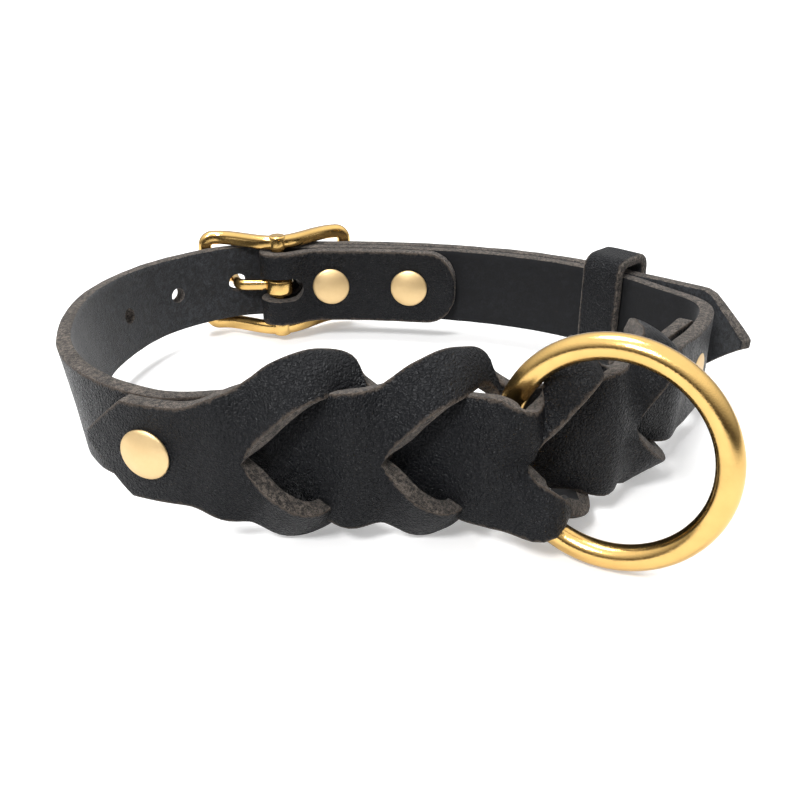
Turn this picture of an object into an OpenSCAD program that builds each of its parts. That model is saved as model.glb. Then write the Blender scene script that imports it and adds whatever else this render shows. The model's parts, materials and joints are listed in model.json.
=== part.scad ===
// Leather buckle collar with a slit-braided front and a ring caught in the braid.
// Millimetres. X to the right, Y away from the viewer, Z up from the table.
// The collar stands on its edge. s runs along the neck loop from the buckle bar, leftwards
// round the front and back again; n points out of the loop; h is height from mid-strap.

/* [Leather] */
// width of both straps
strap_w = 20; // [18:0.5:22]
// thickness of the leather
leather_t = 3.3; // [2.8:0.1:3.6]
// play left between two layers of leather
layer_gap = 0.2; // [0.1:0.05:0.3]

/* [Neck loop] */
// neck loop from left to right, measured between the two straps
loop_x = 139; // [136:1:150]
// neck loop from front to back, measured between the two straps
loop_y = 100; // [98:1:110]
// lean of the standing collar, its front being the higher side
stance_tilt = 1.9; // [0:0.1:4]
// height of mid-strap above the table, halfway between front and back
stance_lift = 17.6; // [17:0.1:25]

/* [Braid] */
// distance between two crossings of the braid
braid_pitch = 24.5; // [24:0.1:26]
// half height of the eye that a slit opens to
eye_half = 12.6; // [12:0.1:13.5]
// length of the pointed tab left of the braid
tab_len = 31.5; // [28:0.5:34]

/* [Billet] */
// distance between two adjusting holes
hole_pitch = 18; // [15:0.5:20]
// diameter of a free adjusting hole
hole_d = 4; // [3:0.25:5]
// diameter of the hole in use, pulled wider by the prong
used_hole_d = 5; // [4.9:0.1:5.8]
// length of the pointed end beyond the keeper
tip_len = 27; // [22:0.5:29]

/* [Brass] */
// outer diameter of the lead ring
ring_d = 44; // [42:0.5:46]
// diameter of the ring's wire
ring_wire = 4.8; // [4:0.1:5]
// length of the buckle frame along the strap
frame_l = 42; // [40:0.5:45]
// play between the frame and the strap's edges, above and below
frame_room = 0.4; // [0.3:0.1:2]
// width of the frame's rails
rail_w = 3.6; // [2.8:0.1:3.8]
// diameter of the buckle's centre bar
bar_d = 3.5; // [3:0.1:3.6]
// diameter of the prong
prong_d = 2.4; // [2:0.1:2.6]
// diameter of a rivet's cap
rivet_d = 10; // [8:0.25:11]

/* [Keeper] */
// width of the keeper's strip
keeper_w = 10.5; // [8:0.5:12]
// thickness of the keeper's strip
keeper_t = 2.4; // [1.8:0.1:2.8]
// how far the keeper stands off the straps above and below
keeper_rise = 2.2; // [1.5:0.1:3]

/* [Hidden] */

stance_x = -5.26;        // puts the middle of the whole collar at the origin
stance_y = 2.32;
half_w = strap_w / 2;
half_t = leather_t / 2;
layer_n = half_t + layer_gap / 2;
fold_gap = 0.05;
fold_in = bar_d / 2 + fold_gap;          // inside radius of the fold round the bar
fold_mid = fold_in + half_t;
bar_n = -layer_n - fold_mid;             // the bar's place, inside the billet
back_n = -layer_n - leather_t - layer_gap;  // turned-back layer, at rest on the strap

// ---- plan of the neck loop, as shares of its half length and half width ----
loop_guide = [
    [-0.46, 1.04], [-0.66, 0.96], [-0.835, 0.75], [-0.94, 0.50],    // buckle to left shoulder
    [-1.00, 0.20], [-1.00, -0.12], [-0.95, -0.42], [-0.85, -0.67],  // left end
    [-0.69, -0.85], [-0.52, -0.93], [-0.345, -0.952],               // under the tab
    [-0.145, -0.956], [0.06, -0.952], [0.26, -0.944], [0.43, -0.89],  // front braid
    [0.59, -0.75], [0.72, -0.57], [0.84, -0.35], [0.95, -0.12],     // right front
    [1.00, 0.08], [0.957, 0.30], [0.863, 0.51], [0.734, 0.68],      // right end and keeper
    [0.576, 0.82], [0.388, 0.93], [0.173, 1.008], [-0.058, 1.052],  // back
    [-0.26, 1.06]];
guide_steps = 12;
guide_n = len(loop_guide);
function guide(i) = let (g = loop_guide[(i + guide_n) % guide_n])
    [g[0] * loop_x / 2, g[1] * loop_y / 2];
function spline(a, b, c, d, u) =
    0.5 * (2 * b + (c - a) * u + (2 * a - 5 * b + 4 * c - d) * u * u
           + (3 * b - a - 3 * c + d) * u * u * u);
loop_fine = [for (i = [0:guide_n - 1]) for (k = [0:guide_steps - 1])
    spline(guide(i - 1), guide(i), guide(i + 1), guide(i + 2), k / guide_steps)];
fine_n = len(loop_fine);
loop_run = [for (i = 0, a = 0; i <= fine_n;
                 a = a + norm(loop_fine[(i + 1) % fine_n] - loop_fine[i % fine_n]), i = i + 1) a];
run_x = [for (i = [0:fine_n]) [loop_run[i], loop_fine[i % fine_n][0]]];
run_y = [for (i = [0:fine_n]) [loop_run[i], loop_fine[i % fine_n][1]]];
loop_len = loop_run[fine_n];
probe = 0.6;
function wrap_s(s) = s - floor(s / loop_len) * loop_len;
function at(s) = [lookup(wrap_s(s), run_x), lookup(wrap_s(s), run_y)];
function along(s) = let (d = at(s + probe) - at(s - probe)) d / norm(d);
function outward(s) = let (t = along(s)) [t[1], -t[0]];
function place(s, h, n) = let (p = at(s) + n * outward(s)) [p[0], p[1], h];
function ease(a, b, x) = let (t = max(0, min(1, (x - a) / (b - a)))) t * t * (3 - 2 * t);
function bump(x, c, w) = exp(-pow((x - c) / w, 2));

// ---- where things lie along the loop ----
s_braid = 0.372 * loop_len;            // first crossing
s_tab = s_braid - tab_len;             // point of the tab
s_tab_rivet = s_braid - 17.5;
s_braid_end = s_braid + 4 * braid_pitch;
s_joint_rivet = s_braid_end + 7;
s_joint_end = s_braid_end + 17;        // rounded end of the billet strap inside the right end
s_keeper = loop_len - 94;
s_tip = s_keeper - tip_len - 2;        // point of the billet
s_fold_a = -15;
s_fold_b = -37.5;
s_fold_end = -50.5;
tab_run = 10;                          // length over which the tab comes to its point
tip_run = 7;
joint_round = 7;                       // corner radius of the billet strap's hidden end
back_round = 8;                        // corner radius of the turned-back end
s_hole_used = 11.3;

// ---- braid: shape of one half strand over two pitches, from a quarter pitch to the next ----
inner_n = [-3.4, -2.0, 0.6, 3.0, 2.8, 5.4, 4.0, -3.4];     // slit edge, or mid-strap
outer_h = [10.4, 10.5, 10.6, 12.9, 13.7, 17.2, 17.4, 14.8]; // outer edge, height
outer_n = [-4.4, -3.6, -1.6, 1.8, -0.4, -1.6, -5.2, -8.8]; // outer edge, outward
bow = [0.0, 0.2, 0.4, 0.5, 0.4, 0.5, 0.8, 0.5];            // crown across the half strand
function wrap_p(p) = p + 1 - 2 * floor((p + 1) / 2) - 1;
function key(k, p) = let (x = (wrap_p(p) + 1) * 4, i = floor(x), u = x - i)
    spline(k[(i + 7) % 8], k[i % 8], k[(i + 1) % 8], k[(i + 2) % 8], u);
// a slit runs a little past the crossing, which leaves a small gap there
braid_k = 8;
slit_end = 1 + 1 / braid_k;
function eye(p) =
    let (q = (p - 2 * floor((p + 0.5) / 2)) / slit_end)
    q > 0 && q < 1 ? eye_half * pow(sin(180 * q), 1.1) : 0;
// the last crossing is drawn in tighter
function draw_in(p) = 1 - 0.17 * ease(2.9, 3.5, p);
// room made for the ring's wire where it lies between the two straps
ring_phase = 1.92;
room_spread = 0.3;
ring_room = 1.5;         // outer strap, outwards
ring_room_in = 3;        // inner strap, inwards
ring_above = [1.98, 0.12, 4];    // upper edge in front of the wire: phase, spread, amount
ring_dip = [2.12, 0.19, 4.9];     // upper edge passing under the wire
ring_below = [2.12, 0.2, 10.5];   // lower edge pushed out by the wire
ring_lift = [2.26, 0.15, 7.7];   // and up

function phase(s) = (s - s_braid) / braid_pitch;
function blend_a(p) = ease(-0.5, 0, p) * (1 - ease(3.45, 4.1, p));
function blend_b(p) = ease(-0.7, -0.05, p) * (1 - ease(4.05, 4.6, p));
// flat run of each strap: which layer it is in
function flat_a(s) = layer_n * (1 - 2 * ease(s_joint_end + 3, s_keeper - 12, s));
function tip_kick(s) = 10.5 * pow(max(0, (s_keeper - loop_len - 3 - s) / (tip_len - 2)), 1.6);
function flat_b(s) = layer_n * (1 - 2 * ease(35, s_tab - 8, s)) + tip_kick(s);
// lean of the billet strap round the left end, its upper edge outwards
function lean_b(s) = 0.15 * ease(25, 60, s) * (1 - ease(88, s_tab, s));
function end_w(s, s0, run) = min(half_w, 1 + (half_w - 1) * max(0, s - s0) / run);
function round_w(s, s1, r) =
    let (d = max(0, s - (s1 - r))) half_w - r + sqrt(max(0.01, r * r - d * d));

// the buckle strap past the loop's end: round the bar, then back along its own inner side
fold_arc = PI * fold_mid;
back_run = -s_fold_end;
function back_mid(s) = back_n + (bar_n - fold_mid - back_n) * (1 - ease(1.5, 11, -s));
function fold_plan(u) =
    let (a = u / fold_mid * 180 / PI, s = fold_arc - u)
    u < fold_arc
        ? at(0) + (bar_n + fold_mid * cos(a)) * outward(0) + fold_mid * sin(a) * along(0)
        : at(s) + back_mid(s) * outward(s);
function mid_fold(u, v, side) =
    let (p = fold_plan(u), w = round_w(u, fold_arc + back_run, back_round))
    [p[0], p[1], side * v * w];

// one point of the leather's middle surface as [h, n]: side 1 upper, -1 lower, v 0..1 outwards
function half_strand(p, v, side, mix, flat, w, lean, push, has_eye, size) =
    let (i_n = flat * (1 - mix) + key(inner_n, p) * mix,
         o_n = flat * (1 - mix) + key(outer_n, p) * mix,
         o_h = w * (1 - mix) + key(outer_h, p) * half_w / 10 * mix * size,
         i_h = has_eye ? eye(p) * mix * size : 0,
         d = [o_h - i_h, o_n - i_n],
         split = ease(0, 3, i_h),
         c = [(i_h + o_h) / 2, i_n + (o_n - i_n) / 2 * split]
             + [-d[1], d[0]] / norm(d) * 2 * key(bow, p) * mix * split,
         q = (1 - v) * (1 - v) * [i_h, i_n] + 2 * v * (1 - v) * c + v * v * [o_h, o_n])
    [side * q[0], q[1] + push + side * q[0] * lean];

function room(p) = bump(p, ring_phase, room_spread);
function local(k, p) = k[2] * bump(p, k[0], k[1]);
function ring_out(p, v, side) = side > 0
    ? v * local(ring_above, p)
    : (v + (1 - v) * 0.35 * ease(2, 2.12, p)) * local(ring_below, p);
function ring_drop(p, v, side) = v * (side > 0 ? -local(ring_dip, p) : local(ring_lift, p));
function mid_a(s, v, side, has_eye) =
    let (p = phase(s), w = end_w(s, s_tab, tab_run),
         q = half_strand(p, v, side, blend_a(p), flat_a(s), w, 0, ring_room * room(p),
                         has_eye, draw_in(p)))
    s > loop_len ? mid_fold(s - loop_len, v, side)
                 : place(s, q[0] + ring_drop(p, v, side), q[1] + ring_out(p, v, side));
function mid_b(s, v, side, has_eye) =
    let (p = phase(s), pb = max(-1, min(2 + slit_end, p - 1)),
         w = min(end_w(s, s_tip - loop_len, tip_run), round_w(s, s_joint_end, joint_round)),
         q = half_strand(pb, v, side, blend_b(p), flat_b(s), w, lean_b(s),
                         -ring_room_in * room(p), has_eye, draw_in(p)))
    place(s, q[0], q[1]);
function mid(strap, s, v, side, has_eye) =
    strap == 0 ? mid_a(s, v, side, has_eye) : mid_b(s, v, side, has_eye);

// two faces of the leather, half its thickness to either side of the middle surface
ds = 0.25;
dv = 0.02;
function skin(strap, s, v, side, has_eye) =
    let (m = mid(strap, s, v, side, has_eye),
         a = mid(strap, s + ds, v, side, has_eye) - mid(strap, s - ds, v, side, has_eye),
         b = mid(strap, s, min(1, v + dv), side, has_eye)
             - mid(strap, s, max(0, v - dv), side, has_eye),
         c = cross(a, b) * side,
         n = c / norm(c) * half_t)
    [m + n, m - n];

cols = 3;
per = cols + 1;
// stations along a strap: even steps to the braid, eighths of a pitch through it, even steps after
function stations(s0, s1, step) =
    let (b0 = s_braid - braid_pitch, b1 = s_braid_end + braid_pitch * 0.625,
         n0 = max(1, ceil((b0 - s0) / step)), n1 = max(1, ceil((s1 - b1) / step)))
    concat(s0 < b0 ? [for (i = [0:n0 - 1]) s0 + (b0 - s0) * i / n0] : [],
           [for (k = [0:45]) let (s = b0 + k * braid_pitch / braid_k) if (s > s0 && s < s1) s],
           s1 > b1 ? [for (i = [1:n1]) b1 + (s1 - b1) * i / n1] : [s1]);
// round the bar every 15 degrees, along the turned-back layer, and close together at its end
fold_stations = concat(
    [for (a = [15:15:180]) fold_arc * a / 180],
    [for (i = [1:20]) fold_arc + (back_run - back_round) * i / 20],
    [for (a = [15:15:90]) fold_arc + back_run - back_round * (1 - sin(a))]);
function slit(strap, s) =
    let (k = round((s - s_braid) / braid_pitch * braid_k) - strap * braid_k,
         from = k % (2 * braid_k))
    k > 0 && k <= 3 * braid_k && from > 0 && from <= braid_k
    && abs(s - s_braid - (k + strap * braid_k) * braid_pitch / braid_k) < 0.01;

module strap_body(strap, st) {
    n = len(st);
    open = [for (s = st) slit(strap, s)];
    skins = [for (i = [0:n - 1]) [for (side = [1, -1]) [for (j = [0:cols])
        skin(strap, st[i], j / cols, side, open[i])]]];
    points = [for (i = [0:n - 1]) for (k = [0, 1]) for (u = [0, 1]) for (j = [0:cols])
        skins[i][u][j][k]];
    function id(i, k, u, j) =
        ((i * 2 + k) * 2 + (j == 0 && !open[i] ? 0 : u)) * per + j;
    function quad(a, b, c, d, flip) = flip ? [[a, c, b], [a, d, c]] : [[a, b, c], [a, c, d]];
    faces = concat(
        [for (i = [0:n - 2]) for (u = [0, 1]) for (j = [0:cols - 1]) for (k = [0, 1])
            each quad(id(i, k, u, j), id(i + 1, k, u, j), id(i + 1, k, u, j + 1),
                      id(i, k, u, j + 1), (k + u) % 2 == 0)],
        [for (i = [0:n - 2]) for (u = [0, 1])
            each quad(id(i, 0, u, cols), id(i + 1, 0, u, cols), id(i + 1, 1, u, cols),
                      id(i, 1, u, cols), u == 0)],
        [for (i = [0:n - 2]) if (open[i] || open[i + 1]) for (u = [0, 1])
            each quad(id(i, 0, u, 0), id(i + 1, 0, u, 0), id(i + 1, 1, u, 0),
                      id(i, 1, u, 0), u == 1)],
        [for (e = [0, n - 1]) for (u = [0, 1]) for (j = [0:cols - 1])
            each quad(id(e, 0, u, j), id(e, 0, u, j + 1), id(e, 1, u, j + 1), id(e, 1, u, j),
                      (u == 0) == (e == 0))]);
    polyhedron(points = points, faces = faces, convexity = 12);
}

// stands the collar on the table
module stance() {
    translate([stance_x, stance_y, stance_lift]) rotate([-stance_tilt, 0, 0]) children();
}
// origin at (s, h, n), X along the loop towards rising s, Y inwards, Z up
module seat(s, h = 0, n = 0) {
    t = along(s);
    translate(place(s, h, n)) rotate([0, 0, atan2(t[1], t[0])]) children();
}

// ---- colours ----
module leather() { color([0.13, 0.13, 0.15]) children(); }
module brass() { color([0.80, 0.64, 0.32]) children(); }

// ---- rivets: a stud through the leather and a domed cap pressed over its end ----
rivet_post = 3;
head_d = rivet_d * 0.9;
head_t = 0.6;
dome_h = 1.9;
cap_rim = 0.5;
cap_grip = 1;
rivet_fit = 0.05;
// the stack of leather runs from n_in to n_out; the cap is on the outward side when facing = 1
module rivet_stud(s, n_in, n_out, facing) {
    back = facing > 0 ? n_in : n_out;
    seat(s, 0, back) rotate([90 * facing, 0, 0]) {
        cylinder(d = head_d, h = head_t, $fn = 64);
        cylinder(d = rivet_post, h = n_out - n_in + cap_grip, $fn = 48);
    }
}
module rivet_cap(s, n_in, n_out, facing) {
    front = facing > 0 ? n_out : n_in;
    dome_r = (rivet_d * rivet_d / 4 + (dome_h - cap_rim) * (dome_h - cap_rim)) / 2
             / (dome_h - cap_rim);
    seat(s, 0, front) rotate([90 * facing, 0, 0]) difference() {
        union() {
            cylinder(d = rivet_d, h = cap_rim, $fn = 64);
            intersection() {
                translate([0, 0, dome_h - dome_r]) sphere(r = dome_r, $fn = 96);
                translate([0, 0, cap_rim / 2]) cylinder(d = rivet_d, h = dome_h, $fn = 64);
            }
        }
        translate([0, 0, -1]) cylinder(d = rivet_post, h = 1 + cap_grip, $fn = 48);
    }
}
// hole for the post and seat for the head
module rivet_cut(s, n_in, n_out, facing) {
    back = facing > 0 ? n_in : n_out;
    seat(s, 0, back) rotate([90 * facing, 0, 0]) {
        translate([0, 0, -2])
            cylinder(d = rivet_post + 2 * rivet_fit, h = n_out - n_in + 4, $fn = 48);
        translate([0, 0, -3]) cylinder(d = head_d + 2 * rivet_fit, h = 3 + head_t, $fn = 64);
        translate([0, 0, n_out - n_in]) cylinder(d = rivet_d + 2 * rivet_fit, h = 2, $fn = 64);
    }
}

// ---- straps ----
slot_h = 6.4;
slot_in = 8.25;                          // the prong's slot, past the bar and before it
slot_out = 6.25;
seam_n = layer_n + half_t;               // outer face of a two-layer stack
fold_stack_in = back_n - half_t;
fold_stack_out = -layer_gap / 2;
hole_count = 5;

module billet_holes() {
    for (i = [0:hole_count - 1])
        seat(s_hole_used + (i - 2) * hole_pitch) rotate([90, 0, 0])
            cylinder(d = i == 2 ? used_hole_d : hole_d, h = 12 * leather_t, center = true, $fn = 48);
}
module billet_strap() {
    leather() stance() difference() {
        strap_body(1, stations(s_tip - loop_len, s_joint_end, 6));
        billet_holes();
        rivet_cut(s_tab_rivet, -seam_n, seam_n, 1);
        rivet_cut(s_joint_rivet, -seam_n, seam_n, -1);
    }
}
module buckle_strap() {
    leather() stance() difference() {
        strap_body(0, concat(stations(s_tab, loop_len, 4),
                             [for (u = fold_stations) loop_len + u]));
        seat(0, 0, bar_n) translate([-slot_out, -3 * leather_t, -slot_h / 2])
            cube([slot_out + slot_in, 6 * leather_t, slot_h]);
        rivet_cut(s_tab_rivet, -seam_n, seam_n, 1);
        rivet_cut(s_joint_rivet, -seam_n, seam_n, -1);
        rivet_cut(s_fold_a, fold_stack_in, fold_stack_out, -1);
        rivet_cut(s_fold_b, fold_stack_in, fold_stack_out, -1);
    }
}

// ---- keeper: a closed leather loop, free to slide a little along the straps ----
keeper_room = 1.1;
keeper_round = 1.6;                       // inside corners
module round_rect(w, h, r) {
    square([w - 2 * r, h], center = true);
    square([w, h - 2 * r], center = true);
    for (i = [-1, 1]) for (j = [-1, 1]) translate([i * (w / 2 - r), j * (h / 2 - r)])
        circle(r = r, $fn = 48);
}
module keeper_loop() {
    in_w = 2 * (seam_n + keeper_room);
    in_h = strap_w + 2 * keeper_rise;
    leather() stance() seat(s_keeper) rotate([90, 0, 90])
        linear_extrude(height = keeper_w, center = true) difference() {
            round_rect(in_w + 2 * keeper_t, in_h + 2 * keeper_t, keeper_round + 2);
            round_rect(in_w, in_h, keeper_round);
        }
}

// ---- buckle: an arched frame with a centre bar, and a bent prong ----
frame_h = strap_w + 2 * (frame_room + rail_w);
rail_rise = 8.4;                          // the frame's ends stand this far outside its bar
frame_turn = 2;                           // settles the frame square to the bent straps
arch_x = 17;
frame_corner = 4;
boss_d = bar_d + 1.3;
bar_fit = 0.02;
bar_end = 0.2;                            // how far the bar's riveted ends stand proud
arch_n = 16;
function arch_y(x) = -rail_rise * (1 - cos(180 * min(1, abs(x) / arch_x))) / 2;
function arch_side(x) = let (d = [0.2, arch_y(x + 0.1) - arch_y(x - 0.1)]) [-d[1], d[0]] / norm(d);
module frame_outline() {
    difference() {
        round_rect(frame_l, frame_h, frame_corner);
        round_rect(frame_l - 2 * rail_w, frame_h - 2 * rail_w, frame_corner - 2);
    }
}
// plan of the arched frame
module arch_plan() {
    xs = [for (i = [-arch_n:arch_n]) i * (frame_l / 2 + 1) / arch_n];
    mid = [for (x = xs) [x, arch_y(x)]];
    half = [for (x = xs) arch_side(x) * rail_w / 2];
    polygon(concat(mid + half, [for (i = [2 * arch_n:-1:0]) mid[i] - half[i]]));
}
module buckle_frame() {
    brass() stance() seat(0, 0, bar_n) difference() {
        union() {
            rotate([0, 0, frame_turn]) intersection() {
                rotate([90, 0, 0]) linear_extrude(height = 60, center = true) frame_outline();
                translate([0, 0, -frame_h]) linear_extrude(height = 2 * frame_h) arch_plan();
            }
            for (k = [-1, 1]) translate([0, 0, k * (frame_h - rail_w) / 2])
                cylinder(d = boss_d, h = rail_w + bar_end, center = true, $fn = 48);
        }
        cylinder(d = bar_d + 2 * bar_fit, h = frame_h + 8, center = true, $fn = 64);
    }
}
module buckle_bar() {
    brass() stance() seat(0, 0, bar_n)
        cylinder(d = bar_d, h = frame_h + 2 * bar_end, center = true, $fn = 64);
}
prong_fit = 0.08;
prong_eye = 4.4;                          // width of the eye round the bar
prong_touch = 0.15;                       // the prong's rest over the rail
prong_w = 3;                              // up and down; prong_d is its thickness
rail_x = (frame_l - rail_w) / 2;
rail_out = -rail_rise + rail_x * sin(frame_turn) - rail_w / 2;   // outer face of the left rail
prong_path = [[1.5, -1.2], [11.1, -2.6], [12.4, rail_out - prong_d / 2 - prong_touch],
              [rail_x + 2.5, rail_out - prong_d / 2 - 3 * prong_touch]];
// half the prong's thickness to one side of its bent path
function path_dir(i) = let (d = prong_path[i + 1] - prong_path[i]) d / norm(d);
function path_side(i) = let (a = path_dir(max(0, i - 1)), b = path_dir(min(2, i)),
    m = (a + b) / norm(a + b)) [-m[1], m[0]] * prong_d / 2 / (m * a);
module buckle_prong() {
    brass() stance() seat(0, 0, bar_n) difference() {
        union() {
            cylinder(d = bar_d + 4, h = prong_eye, center = true, $fn = 64);
            linear_extrude(height = prong_w, center = true) polygon(concat(
                [for (i = [0:3]) prong_path[i] + path_side(i)],
                [for (i = [3:-1:0]) prong_path[i] - path_side(i)]));
        }
        cylinder(d = bar_d + 2 * prong_fit, h = prong_eye + 4, center = true, $fn = 64);
    }
}

// ---- lead ring, its left side caught between the two straps ----
s_ring = s_braid + 1.93 * braid_pitch;
ring_n = -1.4;
ring_turn = 28;
ring_lean = 4;
ring_climb = 9.6;
module lead_ring() {
    r = (ring_d - ring_wire) / 2;
    p = place(s_ring, 0, ring_n);
    brass() stance() translate(p) rotate([0, 0, -ring_turn]) rotate([-ring_lean, 0, 0])
        translate([r * cos(ring_climb), 0, r * sin(ring_climb)])
            rotate([90, 0, 0]) rotate_extrude($fn = 128)
                translate([r, 0]) circle(d = ring_wire, $fn = 48);
}

module tab_rivet_cap() { brass() stance() rivet_cap(s_tab_rivet, -seam_n, seam_n, 1); }
module tab_rivet_stud() { brass() stance() rivet_stud(s_tab_rivet, -seam_n, seam_n, 1); }
module joint_rivet_cap() { brass() stance() rivet_cap(s_joint_rivet, -seam_n, seam_n, -1); }
module joint_rivet_stud() { brass() stance() rivet_stud(s_joint_rivet, -seam_n, seam_n, -1); }
module fold_rivet_a_cap() { brass() stance() rivet_cap(s_fold_a, fold_stack_in, fold_stack_out, -1); }
module fold_rivet_a_stud() { brass() stance() rivet_stud(s_fold_a, fold_stack_in, fold_stack_out, -1); }
module fold_rivet_b_cap() { brass() stance() rivet_cap(s_fold_b, fold_stack_in, fold_stack_out, -1); }
module fold_rivet_b_stud() { brass() stance() rivet_stud(s_fold_b, fold_stack_in, fold_stack_out, -1); }

billet_strap();
buckle_strap();
keeper_loop();
buckle_frame();
buckle_bar();
buckle_prong();
lead_ring();
tab_rivet_cap();
tab_rivet_stud();
joint_rivet_cap();
joint_rivet_stud();
fold_rivet_a_cap();
fold_rivet_a_stud();
fold_rivet_b_cap();
fold_rivet_b_stud();
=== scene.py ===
"""Dresses the leather buckle collar: braided straps, keeper, brass ring, buckle and rivets.

The collar is shaped in a frame of its own, in millimetres: s runs along the neck loop from the
buckle's bar, h is height from mid-strap and n points out of the loop. A Stance then stands it on
the table, in metres.
"""
import json
import logging
import math
from dataclasses import dataclass, field
from enum import Enum
from typing import Dict, List, Optional, Sequence, Tuple, Union

import bmesh
import bpy
import numpy as np
from mathutils import Matrix, Vector, noise


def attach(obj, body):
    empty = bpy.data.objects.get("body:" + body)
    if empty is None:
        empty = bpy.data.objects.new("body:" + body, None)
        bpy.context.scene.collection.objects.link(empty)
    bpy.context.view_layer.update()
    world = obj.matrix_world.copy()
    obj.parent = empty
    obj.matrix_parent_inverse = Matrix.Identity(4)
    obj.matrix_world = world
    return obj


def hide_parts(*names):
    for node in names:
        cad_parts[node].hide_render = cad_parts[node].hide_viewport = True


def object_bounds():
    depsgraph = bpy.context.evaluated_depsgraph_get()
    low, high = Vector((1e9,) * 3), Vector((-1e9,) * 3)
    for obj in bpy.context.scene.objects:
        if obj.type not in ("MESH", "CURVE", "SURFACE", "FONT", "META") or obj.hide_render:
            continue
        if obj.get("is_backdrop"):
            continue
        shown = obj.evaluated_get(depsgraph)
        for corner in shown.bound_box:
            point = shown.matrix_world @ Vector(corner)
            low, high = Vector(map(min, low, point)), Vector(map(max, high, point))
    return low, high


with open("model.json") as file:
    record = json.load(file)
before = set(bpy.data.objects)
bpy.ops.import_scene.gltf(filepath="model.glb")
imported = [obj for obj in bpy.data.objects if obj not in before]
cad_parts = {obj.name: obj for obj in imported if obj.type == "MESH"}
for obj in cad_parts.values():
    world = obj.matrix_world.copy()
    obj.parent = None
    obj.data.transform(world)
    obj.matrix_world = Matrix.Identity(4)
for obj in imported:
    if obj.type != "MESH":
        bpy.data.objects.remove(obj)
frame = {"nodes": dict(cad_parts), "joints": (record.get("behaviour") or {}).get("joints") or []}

LOG = logging.getLogger("collar")
MM = 0.001
WAVER_SEED = 1
Array = np.ndarray
Colour = Tuple[float, float, float]
Socket = bpy.types.NodeSocket


# ---- sums ------------------------------------------------------------------------------------
def ease(a: float, b: float, x: Array) -> Array:
    """Smooth step from 0 at a to 1 at b."""
    t = np.clip((np.asarray(x, float) - a) / (b - a), 0, 1)
    return t * t * (3 - 2 * t)


def bump_at(x: Array, centre: float, spread: float) -> Array:
    """A smooth bump of height 1 at centre."""
    return np.exp(-((np.asarray(x, float) - centre) / spread) ** 2)


def smooth_curve(a: Array, b: Array, c: Array, d: Array, u: Array) -> Array:
    """Point between b and c on the smooth curve through a, b, c and d."""
    return 0.5 * (2 * b + (c - a) * u + (2 * a - 5 * b + 4 * c - d) * u * u
                  + (3 * b - a - 3 * c + d) * u * u * u)


def unit(v: Array) -> Array:
    """Vectors made one long."""
    return v / np.maximum(np.linalg.norm(v, axis=-1, keepdims=True), 1e-12)


# ---- the neck loop ---------------------------------------------------------------------------
class NeckLoop:
    """Plan of the collar: a closed curve between the two straps, measured from the buckle bar."""

    GUIDE = ((-0.46, 1.04), (-0.66, 0.96), (-0.835, 0.75), (-0.94, 0.50), (-1.00, 0.20),
             (-1.00, -0.12), (-0.95, -0.42), (-0.85, -0.67), (-0.69, -0.85), (-0.52, -0.93),
             (-0.345, -0.952), (-0.145, -0.956), (0.06, -0.952), (0.26, -0.944), (0.43, -0.89),
             (0.59, -0.75), (0.72, -0.57), (0.84, -0.35), (0.95, -0.12), (1.00, 0.08),
             (0.957, 0.30), (0.863, 0.51), (0.734, 0.68), (0.576, 0.82), (0.388, 0.93),
             (0.173, 1.008), (-0.058, 1.052), (-0.26, 1.06))
    STEPS = 12
    PROBE = 0.6

    def __init__(self, length: float, depth: float) -> None:
        """Lays out the curve.

        Args:
            length: Neck loop from left to right, in millimetres.
            depth: Neck loop from front to back, in millimetres.
        """
        g = np.array(self.GUIDE) * (length / 2, depth / 2)
        u = (np.arange(self.STEPS) / self.STEPS)[:, None]
        n = len(g)
        fine = np.concatenate([smooth_curve(g[i - 1], g[i], g[(i + 1) % n], g[(i + 2) % n], u)
                               for i in range(n)])
        self._pts = np.vstack([fine, fine[:1]])
        steps = np.linalg.norm(np.diff(self._pts, axis=0), axis=1)
        self._run = np.r_[0, np.cumsum(steps)]
        self.length = float(self._run[-1])

    def at(self, s: Array) -> Array:
        """Plan point at distance s."""
        q = np.mod(np.asarray(s, float), self.length)
        return np.stack([np.interp(q, self._run, self._pts[:, k]) for k in (0, 1)], -1)

    def along(self, s: Array) -> Array:
        """Unit direction of travel at distance s."""
        s = np.asarray(s, float)
        return unit(self.at(s + self.PROBE) - self.at(s - self.PROBE))

    def outward(self, s: Array) -> Array:
        """Unit direction out of the loop at distance s."""
        t = self.along(s)
        return np.stack([t[..., 1], -t[..., 0]], -1)

    def place(self, s: Array, h: Array, n: Array) -> Array:
        """Point at distance s, height h and offset n, in the collar's own frame.

        Args:
            s: Distance along the neck loop from the bar.
            h: Height from mid-strap.
            n: Offset out of the loop.

        Returns:
            The points, in millimetres.
        """
        s, h, n = np.broadcast_arrays(*(np.asarray(x, float) for x in (s, h, n)))
        p = self.at(s) + n[..., None] * self.outward(s)
        return np.concatenate([p, h[..., None]], -1)

    def seat(self, s: float, h: float = 0.0, n: float = 0.0) -> "Seat":
        """A place on the loop with its own directions."""
        t = self.along(s)
        return Seat(self.place(s, h, n), np.array([t[0], t[1], 0.0]))


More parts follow.
